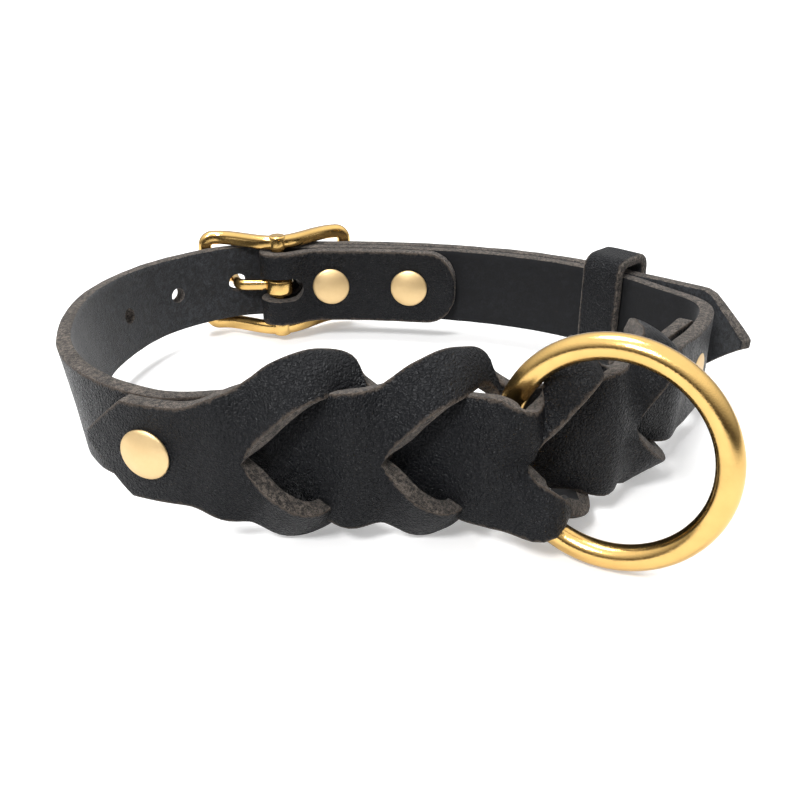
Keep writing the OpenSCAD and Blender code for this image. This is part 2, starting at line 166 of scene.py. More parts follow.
@dataclass(frozen=True)
class Seat:
    """A place with its own directions: along the loop, into it, and up."""

    origin: Array
    along: Array

    @property
    def inward(self) -> Array:
        """Unit direction into the neck loop."""
        return np.array([-self.along[1], self.along[0], 0.0])

    def put(self, points: Array) -> Array:
        """Points given as (along, inward, up), in the collar's own frame.

        Args:
            points: Rows of (along, inward, up).

        Returns:
            The points, in millimetres.
        """
        p = np.asarray(points, float)
        up = np.array([0.0, 0.0, 1.0])
        return (self.origin + p[..., :1] * self.along + p[..., 1:2] * self.inward
                + p[..., 2:] * up)

    def turned(self, degrees: float) -> "Seat":
        """The same place, turned about the up direction."""
        a = math.radians(degrees)
        return Seat(self.origin, math.cos(a) * self.along + math.sin(a) * self.inward)


class Stance:
    """Stands the collar on the table, from the prong's hinge in the record."""

    def __init__(self, hinge_mm: Array) -> None:
        """Finds the collar's place.

        Args:
            hinge_mm: The prong's hinge in the collar's own frame.
        """
        lift = next(j for j in frame["joints"] if j["name"] == "prong_lift")
        up = unit(-np.array(lift["axis"], float))
        deep = unit(np.cross(up, (1.0, 0.0, 0.0)))
        self.turn = np.stack([(1.0, 0.0, 0.0), deep, up], 1)
        self.shift = np.array(lift["pos_m"], float) - self.turn @ (hinge_mm * MM)

    def world(self, points: Array) -> Array:
        """Millimetre points of the collar's own frame, standing on the table in metres."""
        return np.asarray(points, float) @ self.turn.T * MM + self.shift

    def direction(self, d: Sequence[float]) -> Array:
        """A direction of the collar's own frame, as it stands."""
        return self.turn @ np.asarray(d, float)


# ---- leather shape ---------------------------------------------------------------------------
class Strap(Enum):
    """The two straps of the braid."""

    BUCKLE = 0
    BILLET = 1


class Face(Enum):
    """Which side of the leather a face is on, as a material slot."""

    GRAIN = 0
    FLESH = 1
    CUT = 2


@dataclass(frozen=True)
class LeatherSizes:
    """Sizes of the neck loop and the straps, in millimetres."""

    neck_length: float = 139.0
    neck_depth: float = 100.0
    width: float = 20.0
    thickness: float = 3.3
    layer_gap: float = 0.2
    pitch: float = 24.5
    eye: float = 12.6
    tab: float = 31.5
    tab_run: float = 10.0
    tip: float = 27.0
    tip_run: float = 7.0
    joint_round: float = 7.0
    back_round: float = 8.0
    bar: float = 3.5
    fold_gap: float = 0.05
    slit_end: float = 1.125

    @property
    def half(self) -> float:
        """Half the thickness."""
        return self.thickness / 2

    @property
    def layer(self) -> float:
        """How far the middle of one layer lies from the line between the two straps."""
        return self.half + self.layer_gap / 2

    @property
    def seam(self) -> float:
        """Outer face of two layers, from the line between them."""
        return self.layer + self.half

    @property
    def fold_r(self) -> float:
        """Radius of the leather's middle round the bar."""
        return self.bar / 2 + self.fold_gap + self.half

    @property
    def bar_n(self) -> float:
        """The bar's offset from the neck loop."""
        return -self.layer - self.fold_r

    @property
    def back_n(self) -> float:
        """Offset of the turned-back layer."""
        return -self.layer - self.thickness - self.layer_gap


class CollarShape:
    """Middle surfaces of both straps, and where things lie along them."""

    INNER_N = np.array([-3.4, -2.0, 0.6, 3.0, 2.8, 5.4, 4.0, -3.4])
    OUTER_H = np.array([10.4, 10.5, 10.6, 12.9, 13.7, 17.2, 17.4, 14.8])
    OUTER_N = np.array([-4.4, -3.6, -1.6, 1.8, -0.4, -1.6, -5.2, -8.8])
    BOW = np.array([0.0, 0.2, 0.4, 0.5, 0.4, 0.5, 0.8, 0.5])
    # the crossings in front of the ring are packed closer: share of the slit's height kept and
    # extra width of the strand in it, for the upper and the lower half
    SNUG = {1: (0.93, 0.9), -1: (0.72, 1.7)}
    SNUG_AT, SNUG_UNTIL = (-0.45, 0.28), (1.58, 1.78)
    # room for the ring's wire between the straps: phase and spread, then amount where given
    ROOM_AT, ROOM_OUT, ROOM_IN = (1.92, 0.3), 1.5, 3.0
    EDGE_OVER, EDGE_UNDER = (1.98, 0.12, 4.0), (2.12, 0.19, 4.9)
    LOW_OUT, LOW_LIFT = (2.12, 0.2, 10.5), (2.26, 0.15, 7.7)
    # phases over which each strap goes into the braid and comes out of it
    BUCKLE_IN, BUCKLE_OUT = (-0.5, 0.0), (3.45, 4.1)
    BILLET_IN, BILLET_OUT = (-0.7, -0.05), (4.05, 4.6)
    # the billet's free end bends away by this much, and the left end leans by this share
    KICK, KICK_POWER, LEAN = 10.5, 1.6, 0.15
    LEAN_FROM, LEAN_TO = (25.0, 60.0), 88.0
    # places along the loop, in millimetres
    BRAID_SHARE, BRAID_PITCHES = 0.372, 4
    TAB_RIVET, JOINT_RIVET, JOINT_END, KEEPER = 17.5, 7.0, 17.0, 94.0
    FOLD_RIVETS, BACK_RUN = (-15.0, -37.5), 50.5
    USED_HOLE_AT, HOLE_PITCH, HOLES = 11.3, 18.0, 5
    RING_PHASE = 1.93

    def __init__(self, loop: NeckLoop, k: LeatherSizes) -> None:
        """Places everything along the loop.

        Args:
            loop: The neck loop.
            k: Sizes of the straps.
        """
        self.loop, self.k = loop, k
        self.braid = self.BRAID_SHARE * loop.length
        self.tab = self.braid - k.tab
        self.tab_rivet = self.braid - self.TAB_RIVET
        self.braid_end = self.braid + self.BRAID_PITCHES * k.pitch
        self.joint_rivet = self.braid_end + self.JOINT_RIVET
        self.joint_end = self.braid_end + self.JOINT_END
        self.keeper = loop.length - self.KEEPER
        self.tip = self.keeper - k.tip - 2 - loop.length
        self.fold_rivets = self.FOLD_RIVETS
        self.back_run = self.BACK_RUN
        self.fold_arc = math.pi * k.fold_r
        middle = self.HOLES // 2
        self.holes = [self.USED_HOLE_AT + (i - middle) * self.HOLE_PITCH
                      for i in range(self.HOLES)]
        self.ring = self.braid + self.RING_PHASE * k.pitch

    def phase(self, s: Array) -> Array:
        """Position along the braid, in pitches."""
        return (np.asarray(s, float) - self.braid) / self.k.pitch

    @staticmethod
    def _wrap(p: Array) -> Array:
        """Phase within the two pitches after which the braid repeats."""
        return np.mod(np.asarray(p, float) + 1, 2) - 1

    def _key(self, keys: Array, p: Array) -> Array:
        """Smooth value between quarter-pitch keys.

        Args:
            keys: Eight values, a quarter pitch apart.
            p: Phase, in pitches.

        Returns:
            The value at each phase.
        """
        x = (self._wrap(p) + 1) * 4
        i = np.floor(x).astype(int)
        return smooth_curve(keys[(i + 7) % 8], keys[i % 8], keys[(i + 1) % 8], keys[(i + 2) % 8],
                            x - i)

    @staticmethod
    def _local(shift: Tuple[float, float, float], p: Array) -> Array:
        """A shift given as (phase, spread, amount)."""
        return shift[2] * bump_at(p, shift[0], shift[1])

    def eye(self, p: Array) -> Array:
        """Half height of the opened slit at a strap's own phase.

        Args:
            p: The strap's own phase, in pitches.

        Returns:
            The half height, 0 where the slit is shut.
        """
        p = np.asarray(p, float)
        q = (p - 2 * np.floor((p + 0.5) / 2)) / self.k.slit_end
        inside = (p > 0) & (p < 2 + self.k.slit_end) & (q > 0) & (q < 1)
        wave = np.abs(np.sin(np.pi * np.clip(q, 0, 1))) ** 1.1
        return np.where(inside, self.k.eye * wave, 0)

    @staticmethod
    def _draw_in(p: Array) -> Array:
        """Share of its width that the braid keeps; the last crossing is drawn in."""
        return 1 - 0.17 * ease(2.9, 3.5, p)

    def is_open(self, strap: Strap, s: Array) -> Array:
        """Whether the strap is slit open there."""
        return self.eye(np.round(self.phase(s) - strap.value, 5)) > 1e-4

    def _half(self, p: Array, v: Array, side: int, mix: Array, flat: Array, w: Array,
              lean: Array, push: Array, size: Array, snug: Array) -> Tuple[Array, Array]:
        """Height and offset of a half strand.

        Args:
            p: The strap's own phase.
            v: 0 at the slit or mid-line, 1 at the outer edge.
            side: 1 for the upper half, -1 for the lower.
            mix: 0 where the strap is flat, 1 where it is braided.
            flat: Offset of the flat strap.
            w: Half width of the flat strap.
            lean: Outward lean for each unit of height.
            push: Extra offset.
            size: Height of the braid, 1 for the usual.
            snug: 1 where the strands are packed close, 0 where they stand free.

        Returns:
            Height and offset, in millimetres.
        """
        keep, plump = self.SNUG[side]
        i_n = flat * (1 - mix) + self._key(self.INNER_N, p) * mix
        o_n = flat * (1 - mix) + self._key(self.OUTER_N, p) * mix
        o_h = w * (1 - mix) + self._key(self.OUTER_H, p) * self.k.width / 20 * mix * size
        o_h = o_h + snug * mix * plump * bump_at(self._wrap(p), *self.SNUG_AT)
        i_h = self.eye(p) * mix * size * (1 - snug * (1 - keep))
        dh, dn = o_h - i_h, o_n - i_n
        split = ease(0, 3, i_h)
        bow = 2 * self._key(self.BOW, p) * mix * split / np.hypot(dh, dn)
        c_h = (i_h + o_h) / 2 - dn * bow
        c_n = i_n + (o_n - i_n) / 2 * split + dh * bow
        a, b, c = (1 - v) ** 2, 2 * v * (1 - v), v * v
        h = a * i_h + b * c_h + c * o_h
        n = a * i_n + b * c_n + c * o_n
        return side * h, n + push + side * h * lean

    def _point_w(self, s: Array, s0: float, run: float) -> Array:
        """Half width of a strap that comes to a blunt point at s0."""
        half = self.k.width / 2
        return np.minimum(half, 1 + (half - 1) * np.maximum(0, s - s0) / run)

    def _round_w(self, s: Array, s1: float, r: float) -> Array:
        """Half width of a strap with rounded corners at s1."""
        d = np.maximum(0, s - (s1 - r))
        return self.k.width / 2 - r + np.sqrt(np.maximum(0.01, r * r - d * d))

    def _fold(self, u: Array, v: Array, side: int) -> Array:
        """The buckle strap past the bar: round it, then back along its own inner side.

        Args:
            u: Distance past the bar.
            v: Share of the way across the half, from 0 to 1.
            side: 1 for the upper half, -1 for the lower.

        Returns:
            The points, in millimetres.
        """
        loop, k = self.loop, self.k
        a = np.clip(u / k.fold_r, 0, math.pi)[..., None]
        arc = (loop.at(0) + (k.bar_n + k.fold_r * np.cos(a)) * loop.outward(0)
               + k.fold_r * np.sin(a) * loop.along(0))
        s = np.minimum(0, self.fold_arc - u)
        low = k.bar_n - k.fold_r
        n = k.back_n + (low - k.back_n) * (1 - ease(1.5, 11, -s))
        back = loop.at(s) + n[..., None] * loop.outward(s)
        plan = np.where(u[..., None] < self.fold_arc, arc, back)
        h = side * v * self._round_w(u, self.fold_arc + self.back_run, k.back_round)
        return np.concatenate([plan, h[..., None]], -1)

    def mid(self, strap: Strap, s: Array, v: Array, side: int) -> Array:
        """Points of a strap's middle surface.

        Args:
            strap: Which strap.
            s: Distance along the loop, past its end for the fold round the bar.
            v: 0 at the slit or mid-line, 1 at the outer edge.
            side: 1 for the upper half, -1 for the lower.

        Returns:
            Points in the collar's own frame.
        """
        s, v = np.broadcast_arrays(np.asarray(s, float), np.asarray(v, float))
        k, p = self.k, self.phase(s)
        room = bump_at(p, *self.ROOM_AT)
        snug = 1 - ease(*self.SNUG_UNTIL, p)
        if strap is Strap.BUCKLE:
            mix = ease(*self.BUCKLE_IN, p) * (1 - ease(*self.BUCKLE_OUT, p))
            flat = k.layer * (1 - 2 * ease(self.joint_end + 3, self.keeper - 12, s))
            w = self._point_w(s, self.tab, k.tab_run)
            h, n = self._half(p, v, side, mix, flat, w, 0, self.ROOM_OUT * room,
                              self._draw_in(p), snug)
            if side > 0:
                n = n + v * self._local(self.EDGE_OVER, p)
                h = h - v * self._local(self.EDGE_UNDER, p)
            else:
                slit_share = (1 - v) * 0.35 * ease(2, self.LOW_OUT[0], p)
                n = n + (v + slit_share) * self._local(self.LOW_OUT, p)
                h = h + v * self._local(self.LOW_LIFT, p)
            past = (s > self.loop.length)[..., None]
            fold = self._fold(np.maximum(s - self.loop.length, 0), v, side)
            return np.where(past, fold, self.loop.place(s, h, n))
        mix = ease(*self.BILLET_IN, p) * (1 - ease(*self.BILLET_OUT, p))
        past_keeper = np.maximum(0, self.keeper - self.loop.length - 3 - s)
        kick = self.KICK * (past_keeper / (k.tip - 2)) ** self.KICK_POWER
        flat = k.layer * (1 - 2 * ease(35, self.tab - 8, s)) + kick
        w = np.minimum(self._point_w(s, self.tip, k.tip_run),
                       self._round_w(s, self.joint_end, k.joint_round))
        lean = self.LEAN * ease(*self.LEAN_FROM, s) * (1 - ease(self.LEAN_TO, self.tab, s))
        own = np.clip(p - 1, -1, 2 + k.slit_end)
        h, n = self._half(own, v, side, mix, flat, w, lean, -self.ROOM_IN * room,
                          self._draw_in(p), snug)
        return self.loop.place(s, h, n)

    def facing(self, strap: Strap, s: Array, v: Array, side: int) -> Array:
        """Unit directions out of a strap's grain side.

        Args:
            strap: Which strap.
            s: Distance along the strap.
            v: Share of the way across the half, from 0 to 1.
            side: 1 for the upper half, -1 for the lower.

        Returns:
            One unit direction for each point.
        """
        ds, dv = 0.25, 0.02
        a = self.mid(strap, s + ds, v, side) - self.mid(strap, s - ds, v, side)
        b = (self.mid(strap, s, np.minimum(1, v + dv), side)
             - self.mid(strap, s, np.maximum(0, v - dv), side))
        return unit(np.cross(a, b) * side)


# ---- mesh helpers ----------------------------------------------------------------------------
def new_object(name: str, points: Array, faces: Sequence[Sequence[int]],
               materials: Sequence[bpy.types.Material], slots: Optional[Sequence[int]] = None,
               uvs: Optional[Dict[str, Array]] = None) -> bpy.types.Object:
    """Makes a smooth mesh object with its faces turned outwards.

    Args:
        name: Name of the piece.
        points: Points as they stand on the table, in metres.
        faces: Corners of each face.
        materials: Material slots.
        slots: Slot of each face.
        uvs: Texture position of each point, by map name.

    Returns:
        The new object, linked to the scene.
    """
    mesh = bpy.data.meshes.new(name)
    mesh.from_pydata(np.asarray(points).tolist(), [], [tuple(f) for f in faces])
    for m in materials:
        mesh.materials.append(m)
    if slots is not None:
        mesh.polygons.foreach_set("material_index", list(slots))
    mesh.polygons.foreach_set("use_smooth", [True] * len(mesh.polygons))
    corner = np.empty(len(mesh.loops), np.int32)
    mesh.loops.foreach_get("vertex_index", corner)
    for key, uv in (uvs or {}).items():
        mesh.uv_layers.new(name=key).data.foreach_set("uv", np.asarray(uv, float)[corner].ravel())
    bm = bmesh.new()
    bm.from_mesh(mesh)
    bmesh.ops.recalc_face_normals(bm, faces=bm.faces)
    bm.to_mesh(mesh)
    bm.free()
    obj = bpy.data.objects.new(name, mesh)
    bpy.context.scene.collection.objects.link(obj)
    return obj


def grid_faces(rows: int, cols: int, wrap_rows: bool, first: int = 0) -> List[Tuple[int, ...]]:
    """Quads of a grid of points whose columns go all the way round.

    Args:
        rows: How many rows of points.
        cols: How many points in a row.
        wrap_rows: Whether the last row joins the first.
        first: Number of the first point.

    Returns:
        The quads, as point numbers.
    """
    out = []
    for i in range(rows if wrap_rows else rows - 1):
        for j in range(cols):
            a, b, d = first + i * cols, first + (i + 1) % rows * cols, (j + 1) % cols
            out.append((a + j, b + j, b + d, a + d))
    return out


@dataclass
class Solid:
    """Points and faces of one closed solid, in the collar's own frame."""

    points: Array
    faces: List[Tuple[int, ...]]

    def __add__(self, other: "Solid") -> "Solid":
        """Both solids as one mesh.

        Args:
            other: The solid to add.

        Returns:
            The joined solid.
        """
        n = len(self.points)
        return Solid(np.vstack([self.points, other.points]),
                     self.faces + [tuple(i + n for i in f) for f in other.faces])


def sweep(path: Array, side: Array, profile: Array, closed: bool,
          scale: Optional[Array] = None) -> Solid:
    """Sweeps a profile along a path.

    Args:
        path: Points of the path.
        side: Direction of the profile's first axis at each point.
        profile: Profile points as (first axis, second axis).
        closed: Whether the path is a closed loop.
        scale: Size of the profile at each point, 1 if left out.

    Returns:
        The solid.
    """
    n, m = len(path), len(profile)
    ahead = np.roll(path, -1, 0) if closed else np.vstack([path[1:], 2 * path[-1] - path[-2]])
    behind = np.roll(path, 1, 0) if closed else np.vstack([2 * path[0] - path[1], path[:-1]])
    t = unit(ahead - behind)
    a = unit(side - (side * t).sum(1, keepdims=True) * t)
    b = np.cross(t, a)
    k = (np.ones(n) if scale is None else scale)[:, None, None]
    pts = (path[:, None] + a[:, None] * profile[None, :, :1] * k
           + b[:, None] * profile[None, :, 1:] * k)
    faces = grid_faces(n, m, closed)
    if not closed:
        faces += [tuple(range(m)), tuple((n - 1) * m + j for j in range(m))]
    return Solid(pts.reshape(-1, 3), faces)


def turned(outline: Sequence[Tuple[float, float]], centre: Array, axis: Array,
           count: int = 72) -> Solid:
    """Turns an outline of (radius, height) points round an axis.

    Args:
        outline: Radius and height of each point, along the axis.
        centre: Where the axis starts.
        axis: Unit direction of the axis.
        count: Points round the axis.

    Returns:
        The turned solid.
    """
    axis = unit(np.asarray(axis, float))
    x = unit(np.cross(axis, (0.1, 0.3, 1.0)))
    y = np.cross(axis, x)
    a = (np.arange(count) * 2 * math.pi / count)[:, None]
    ring = np.cos(a) * x + np.sin(a) * y
    rows = [centre + axis * z + ring * max(r, 0.002) for r, z in outline]
    faces = grid_faces(len(rows), count, False)
    faces += [tuple(range(count)), tuple((len(rows) - 1) * count + j for j in range(count))]
    return Solid(np.concatenate(rows), faces)


def soft_section(w: float, h: float, power: float = 3.0, count: int = 28) -> Array:
    """A squared section with rounded corners, w wide and h high.

    Args:
        w: Full width.
        h: Full height.
        power: How square the section is; 2 is an ellipse.
        count: Points round the section.

    Returns:
        The points of the section, in order.
    """
    a = np.arange(count) * 2 * math.pi / count
    c, s = np.cos(a), np.sin(a)
    return np.stack([w / 2 * np.sign(c) * np.abs(c) ** (2 / power),
                     h / 2 * np.sign(s) * np.abs(s) ** (2 / power)], -1)


def rounded_path(points: Sequence[Tuple[float, float]], radius: float, steps: int = 6) -> Array:
    """An open path through plan points with its inner corners rounded.

    Args:
        points: The corners of the path, with its two ends.
        radius: How far the rounding reaches from a corner.
        steps: Steps in each rounding.

    Returns:
        The points of the rounded path.
    """
    p = np.array(points, float)
    out = [p[0]]
    for a, b, c in zip(p[:-2], p[1:-1], p[2:]):
        r = min(radius, np.linalg.norm(b - a) / 2.2, np.linalg.norm(c - b) / 2.2)
        q0, q1 = b + unit(a - b) * r, b + unit(c - b) * r
        for u in np.linspace(0, 1, steps):
            out.append((1 - u) ** 2 * q0 + 2 * u * (1 - u) * b + u * u * q1)
    out.append(p[-1])
    return np.array(out)


def rounded_box(w: float, h: float, r: float, steps: int = 10, span: float = 1.5) -> Array:
    """Points round a rectangle with rounded corners, no more than span apart.

    Args:
        w: Full width.
        h: Full height.
        r: Radius of the corners.
        steps: Steps in each corner.
        span: Largest distance between points, about.

    Returns:
        The points, in order.
    """
    out = []
    for cx, cy, start in ((1, 1, 0), (-1, 1, 90), (-1, -1, 180), (1, -1, 270)):
        for i in range(steps + 1):
            a = math.radians(start + 90 * i / steps)
            out.append((cx * (w / 2 - r) + r * math.cos(a), cy * (h / 2 - r) + r * math.sin(a)))
    dense = []
    for p, q in zip(out, out[1:] + out[:1]):
        n = max(1, int(math.dist(p, q) / span))
        dense += [(p[0] + (q[0] - p[0]) * i / n, p[1] + (q[1] - p[1]) * i / n) for i in range(n)]
    return np.array(dense)


def roughen(points: Array, amount: float, size: float) -> Array:
    """Points shifted by smooth noise, so that cut lines aren't dead straight.

    Blender seeds this noise from the clock at start-up, so it is seeded here instead, and every
    run gives the same leather.

    Args:
        points: The points to shift.
        amount: The largest shift, about.
        size: How far apart the noise's waves are.

    Returns:
        The shifted points.
    """
    noise.seed_set(WAVER_SEED)
    shift = [noise.noise_vector(Vector(p) / size) for p in points.tolist()]
    return points + np.array([tuple(v) for v in shift]) * amount


def cut(obj: bpy.types.Object, cutter: bpy.types.Object) -> None:
    """Cuts one mesh out of another for good, and removes the cutter.

    Args:
        obj: The object that is cut.
        cutter: The object taken out of it.
    """
    tool = obj.modifiers.new("cut", "BOOLEAN")
    tool.operation, tool.object, tool.solver = "DIFFERENCE", cutter, "EXACT"
    tool.material_mode = "TRANSFER"
    bpy.context.view_layer.update()
    graph = bpy.context.evaluated_depsgraph_get()
    done = bpy.data.meshes.new_from_object(obj.evaluated_get(graph))
    obj.modifiers.clear()
    obj.data = done
    bpy.data.objects.remove(cutter)


def sharpen(obj: bpy.types.Object, degrees: float = 42) -> None:
    """Keeps edges crisp where faces meet at more than this angle."""
    obj.data.set_sharp_from_angle(angle=math.radians(degrees))


# ---- finishes --------------------------------------------------------------------------------
class Nodes:
    """Adds and joins nodes in one node tree."""

    def __init__(self, tree: bpy.types.NodeTree) -> None:
        """Works in this tree."""
        self.tree = tree

    def add(self, kind: str, inputs: Optional[Dict[Union[str, int], object]] = None,
            **settings: object) -> bpy.types.Node:
        """Adds a node.

        Args:
            kind: The node's type without its ShaderNode prefix.
            inputs: Values or sockets, by socket name or number.
            settings: Other settings of the node.

        Returns:
            The node.
        """
        node = self.tree.nodes.new("ShaderNode" + kind)
        for key, value in settings.items():
            setattr(node, key, value)
        for key, value in (inputs or {}).items():
            self.feed(node.inputs[key], value)
        return node

    def feed(self, socket: Socket, value: object) -> None:
        """Links a socket, or sets its value.

        Args:
            socket: The input.
            value: A socket to link, or a value to set.
        """
        if isinstance(value, bpy.types.NodeSocket):
            self.tree.links.new(value, socket)
        else:
            socket.default_value = value

    def math(self, operation: str, a: object, b: object = 0.0) -> Socket:
        """A sum of two values."""
        return self.add("Math", {0: a, 1: b}, operation=operation).outputs[0]

    def spread(self, value: object, low: float, high: float, to_low: float = 0.0,
               to_high: float = 1.0) -> Socket:
        """A value brought from one range to another, clamped."""
        return self.add("MapRange", {"Value": value, "From Min": low, "From Max": high,
                                     "To Min": to_low, "To Max": to_high}).outputs[0]

    def mix(self, share: object, a: object, b: object) -> Socket:
        """A colour between a and b.

        Args:
            share: How much of b, from 0 to 1.
            a: The colour at 0.
            b: The colour at 1.

        Returns:
            The mixed colour.
        """
        node = self.add("Mix", data_type="RGBA")
        for socket, value in ((node.inputs[0], share), (node.inputs[6], a), (node.inputs[7], b)):
            self.feed(socket, value)
        return node.outputs[2]

    def noise(self, vector: Socket, scale: object, detail: float = 3.0,
              roughness: float = 0.5) -> Socket:
        """Noise from 0 to 1.

        Args:
            vector: Where to read the noise.
            scale: How fine the noise is.
            detail: How many finer layers it has.
            roughness: How strong the finer layers are.

        Returns:
            The noise.
        """
        node = self.add("TexNoise", {"Vector": vector, "Scale": scale, "Detail": detail,
                                     "Roughness": roughness})
        return node.outputs[0]


def new_group(name: str, inputs: Dict[str, Tuple[str, object]],
              outputs: Dict[str, str]) -> Tuple[bpy.types.NodeTree, Nodes, Socket, Socket]:
    """Starts a node group.

    Args:
        name: Name of the group.
        inputs: Socket type and start value, by input name.
        outputs: Socket type, by output name.

    Returns:
        The group, its node helper, its input node and its output node.
    """
    tree = bpy.data.node_groups.new(name, "ShaderNodeTree")
    for key, (kind, value) in inputs.items():
        socket = tree.interface.new_socket(key, in_out="INPUT", socket_type="NodeSocket" + kind)
        if value is not None:
            socket.default_value = value
    for key, kind in outputs.items():
        tree.interface.new_socket(key, in_out="OUTPUT", socket_type="NodeSocket" + kind)
    nodes = Nodes(tree)
    return tree, nodes, tree.nodes.new("NodeGroupInput"), tree.nodes.new("NodeGroupOutput")


class Effects:
    """Node groups that several finishes share."""

    def __init__(self) -> None:
        """Builds the groups."""
        self.pebbles = self._pebbles()
        self.rim = self._rim()
        self.clouds = self._clouds()
        self.fibres = self._fibres()
        self.handling = self._handling()

    @staticmethod
    def _pebbles() -> bpy.types.NodeTree:
        """Fine pebbled grain with faint creases between the pebbles.

        Returns:
            The node group.
        """
        tree, n, start, end = new_group(
            "pebbled_grain", {"Vector": ("Vector", None), "Scale": ("Float", 1500.0)},
            {"Height": "Float", "Valley": "Float"})
        vector, scale = start.outputs["Vector"], start.outputs["Scale"]
        warp = n.add("TexNoise", {"Vector": vector, "Scale": n.math("MULTIPLY", scale, 0.5)})
        push = n.add("VectorMath", {0: warp.outputs[1], 1: (0.5, 0.5, 0.5)}, operation="SUBTRACT")
        push = n.add("VectorMath", {0: push.outputs[0], "Scale": 0.0007}, operation="SCALE")
        bent = n.add("VectorMath", {0: vector, 1: push.outputs[0]}, operation="ADD").outputs[0]
        cell = n.add("TexVoronoi", {"Vector": bent, "Scale": scale, "Smoothness": 0.4},
                     feature="SMOOTH_F1")
        rift = n.add("TexVoronoi", {"Vector": bent, "Scale": n.math("MULTIPLY", scale, 0.45)},
                     feature="DISTANCE_TO_EDGE")
        crease = n.spread(rift.outputs[0], 0.0, 0.16)
        dome = n.math("SUBTRACT", 1.0, cell.outputs[0])
        fine = n.noise(vector, n.math("MULTIPLY", scale, 3.0), 2.0)
        height = n.math("ADD", n.math("MULTIPLY", dome, 0.55), n.math("MULTIPLY", crease, 0.3))
        height = n.math("ADD", height, n.math("MULTIPLY", fine, 0.15))
        n.feed(end.inputs["Height"], height)
        n.feed(end.inputs["Valley"], n.math("SUBTRACT", 1.0, crease))
        return tree

    @staticmethod
    def _rim() -> bpy.types.NodeTree:
        """How near a cut edge is, broken up by noise, for wear along the edges.

        Returns:
            The node group.
        """
        tree, n, start, end = new_group(
            "edge_wear", {"Vector": ("Vector", None), "Distance": ("Float", 1.0),
                          "Width": ("Float", 0.1)}, {"Mask": "Float"})
        ragged = n.noise(start.outputs["Vector"], 900.0, 4.0, 0.7)
        reach = n.math("MULTIPLY", start.outputs["Width"], n.spread(ragged, 0.3, 0.7, 0.3, 1.6))
        share = n.math("DIVIDE", start.outputs["Distance"], reach)
        n.feed(end.inputs["Mask"], n.spread(share, 0.0, 1.0, 1.0, 0.0))
        return tree

    @staticmethod
    def _clouds() -> bpy.types.NodeTree:
        """Broad unevenness of dye, dust and polish.

        Returns:
            The node group.
        """
        tree, n, start, end = new_group(
            "clouds", {"Vector": ("Vector", None), "Scale": ("Float", 60.0)}, {"Mask": "Float"})
        broad = n.noise(start.outputs["Vector"], start.outputs["Scale"], 5.0, 0.6)
        n.feed(end.inputs["Mask"], n.spread(broad, 0.32, 0.68))
        return tree

    @staticmethod
    def _fibres() -> bpy.types.NodeTree:
        """Loose fibres of cut or split leather: height and pale specks.

        Returns:
            The node group.
        """
        tree, n, start, end = new_group(
            "leather_fibres", {"Vector": ("Vector", None), "Scale": ("Float", 3000.0)},
            {"Height": "Float", "Specks": "Float"})
        vector, scale = start.outputs["Vector"], start.outputs["Scale"]
        fluff = n.noise(vector, scale, 5.0, 0.75)
        clump = n.noise(vector, n.math("MULTIPLY", scale, 0.3), 3.0, 0.6)
        height = n.math("ADD", n.math("MULTIPLY", fluff, 0.6), n.math("MULTIPLY", clump, 0.4))
        n.feed(end.inputs["Height"], height)
        n.feed(end.inputs["Specks"], n.spread(height, 0.45, 0.58))
        return tree

    @staticmethod
    def _handling() -> bpy.types.NodeTree:
        """Fine scratches and finger marks on metal.

        Returns:
            The node group.
        """
        tree, n, start, end = new_group(
            "handling_marks", {"Vector": ("Vector", None), "Scale": ("Float", 500.0)},
            {"Scratches": "Float", "Smears": "Float"})
        vector, scale = start.outputs["Vector"], start.outputs["Scale"]
        long = n.add("VectorMath", {0: vector, 1: (1.0, 0.06, 1.0)}, operation="MULTIPLY")
        line = n.noise(long.outputs[0], n.math("MULTIPLY", scale, 8.0), 2.0)
        n.feed(end.inputs["Scratches"], n.spread(line, 0.4, 0.7))
        n.feed(end.inputs["Smears"], n.noise(vector, n.math("MULTIPLY", scale, 0.3), 4.0, 0.65))
        return tree


def opaque(c: Colour) -> Tuple[float, float, float, float]:
    """A colour with full alpha."""
    return (*c, 1.0)


@dataclass(frozen=True)
class Finish:
    """A finish with a name; each kind builds its own material."""

    name: str

    def start(self) -> Tuple[bpy.types.Material, Nodes, bpy.types.Node, Socket]:
        """A new material, its helper, its Principled shader and its surface coordinates.

        Returns:
            The material, the helper, the shader and the coordinates.
        """
        material = bpy.data.materials.new(self.name)
        material.use_nodes = True
        n = Nodes(material.node_tree)
        shader = material.node_tree.nodes["Principled BSDF"]
        return material, n, shader, n.add("TexCoord").outputs["Object"]

    @staticmethod
    def effect(n: Nodes, tree: bpy.types.NodeTree,
               inputs: Dict[str, object]) -> Dict[str, Socket]:
        """Places a shared effect and gives its outputs by name.

        Args:
            n: The material's helper.
            tree: The effect.
            inputs: Values or sockets for its inputs, by name.

        Returns:
            Its output sockets, by name.
        """
        node = n.add("Group", node_tree=tree)
        for key, value in inputs.items():
            n.feed(node.inputs[key], value)
        return {o.name: o for o in node.outputs}


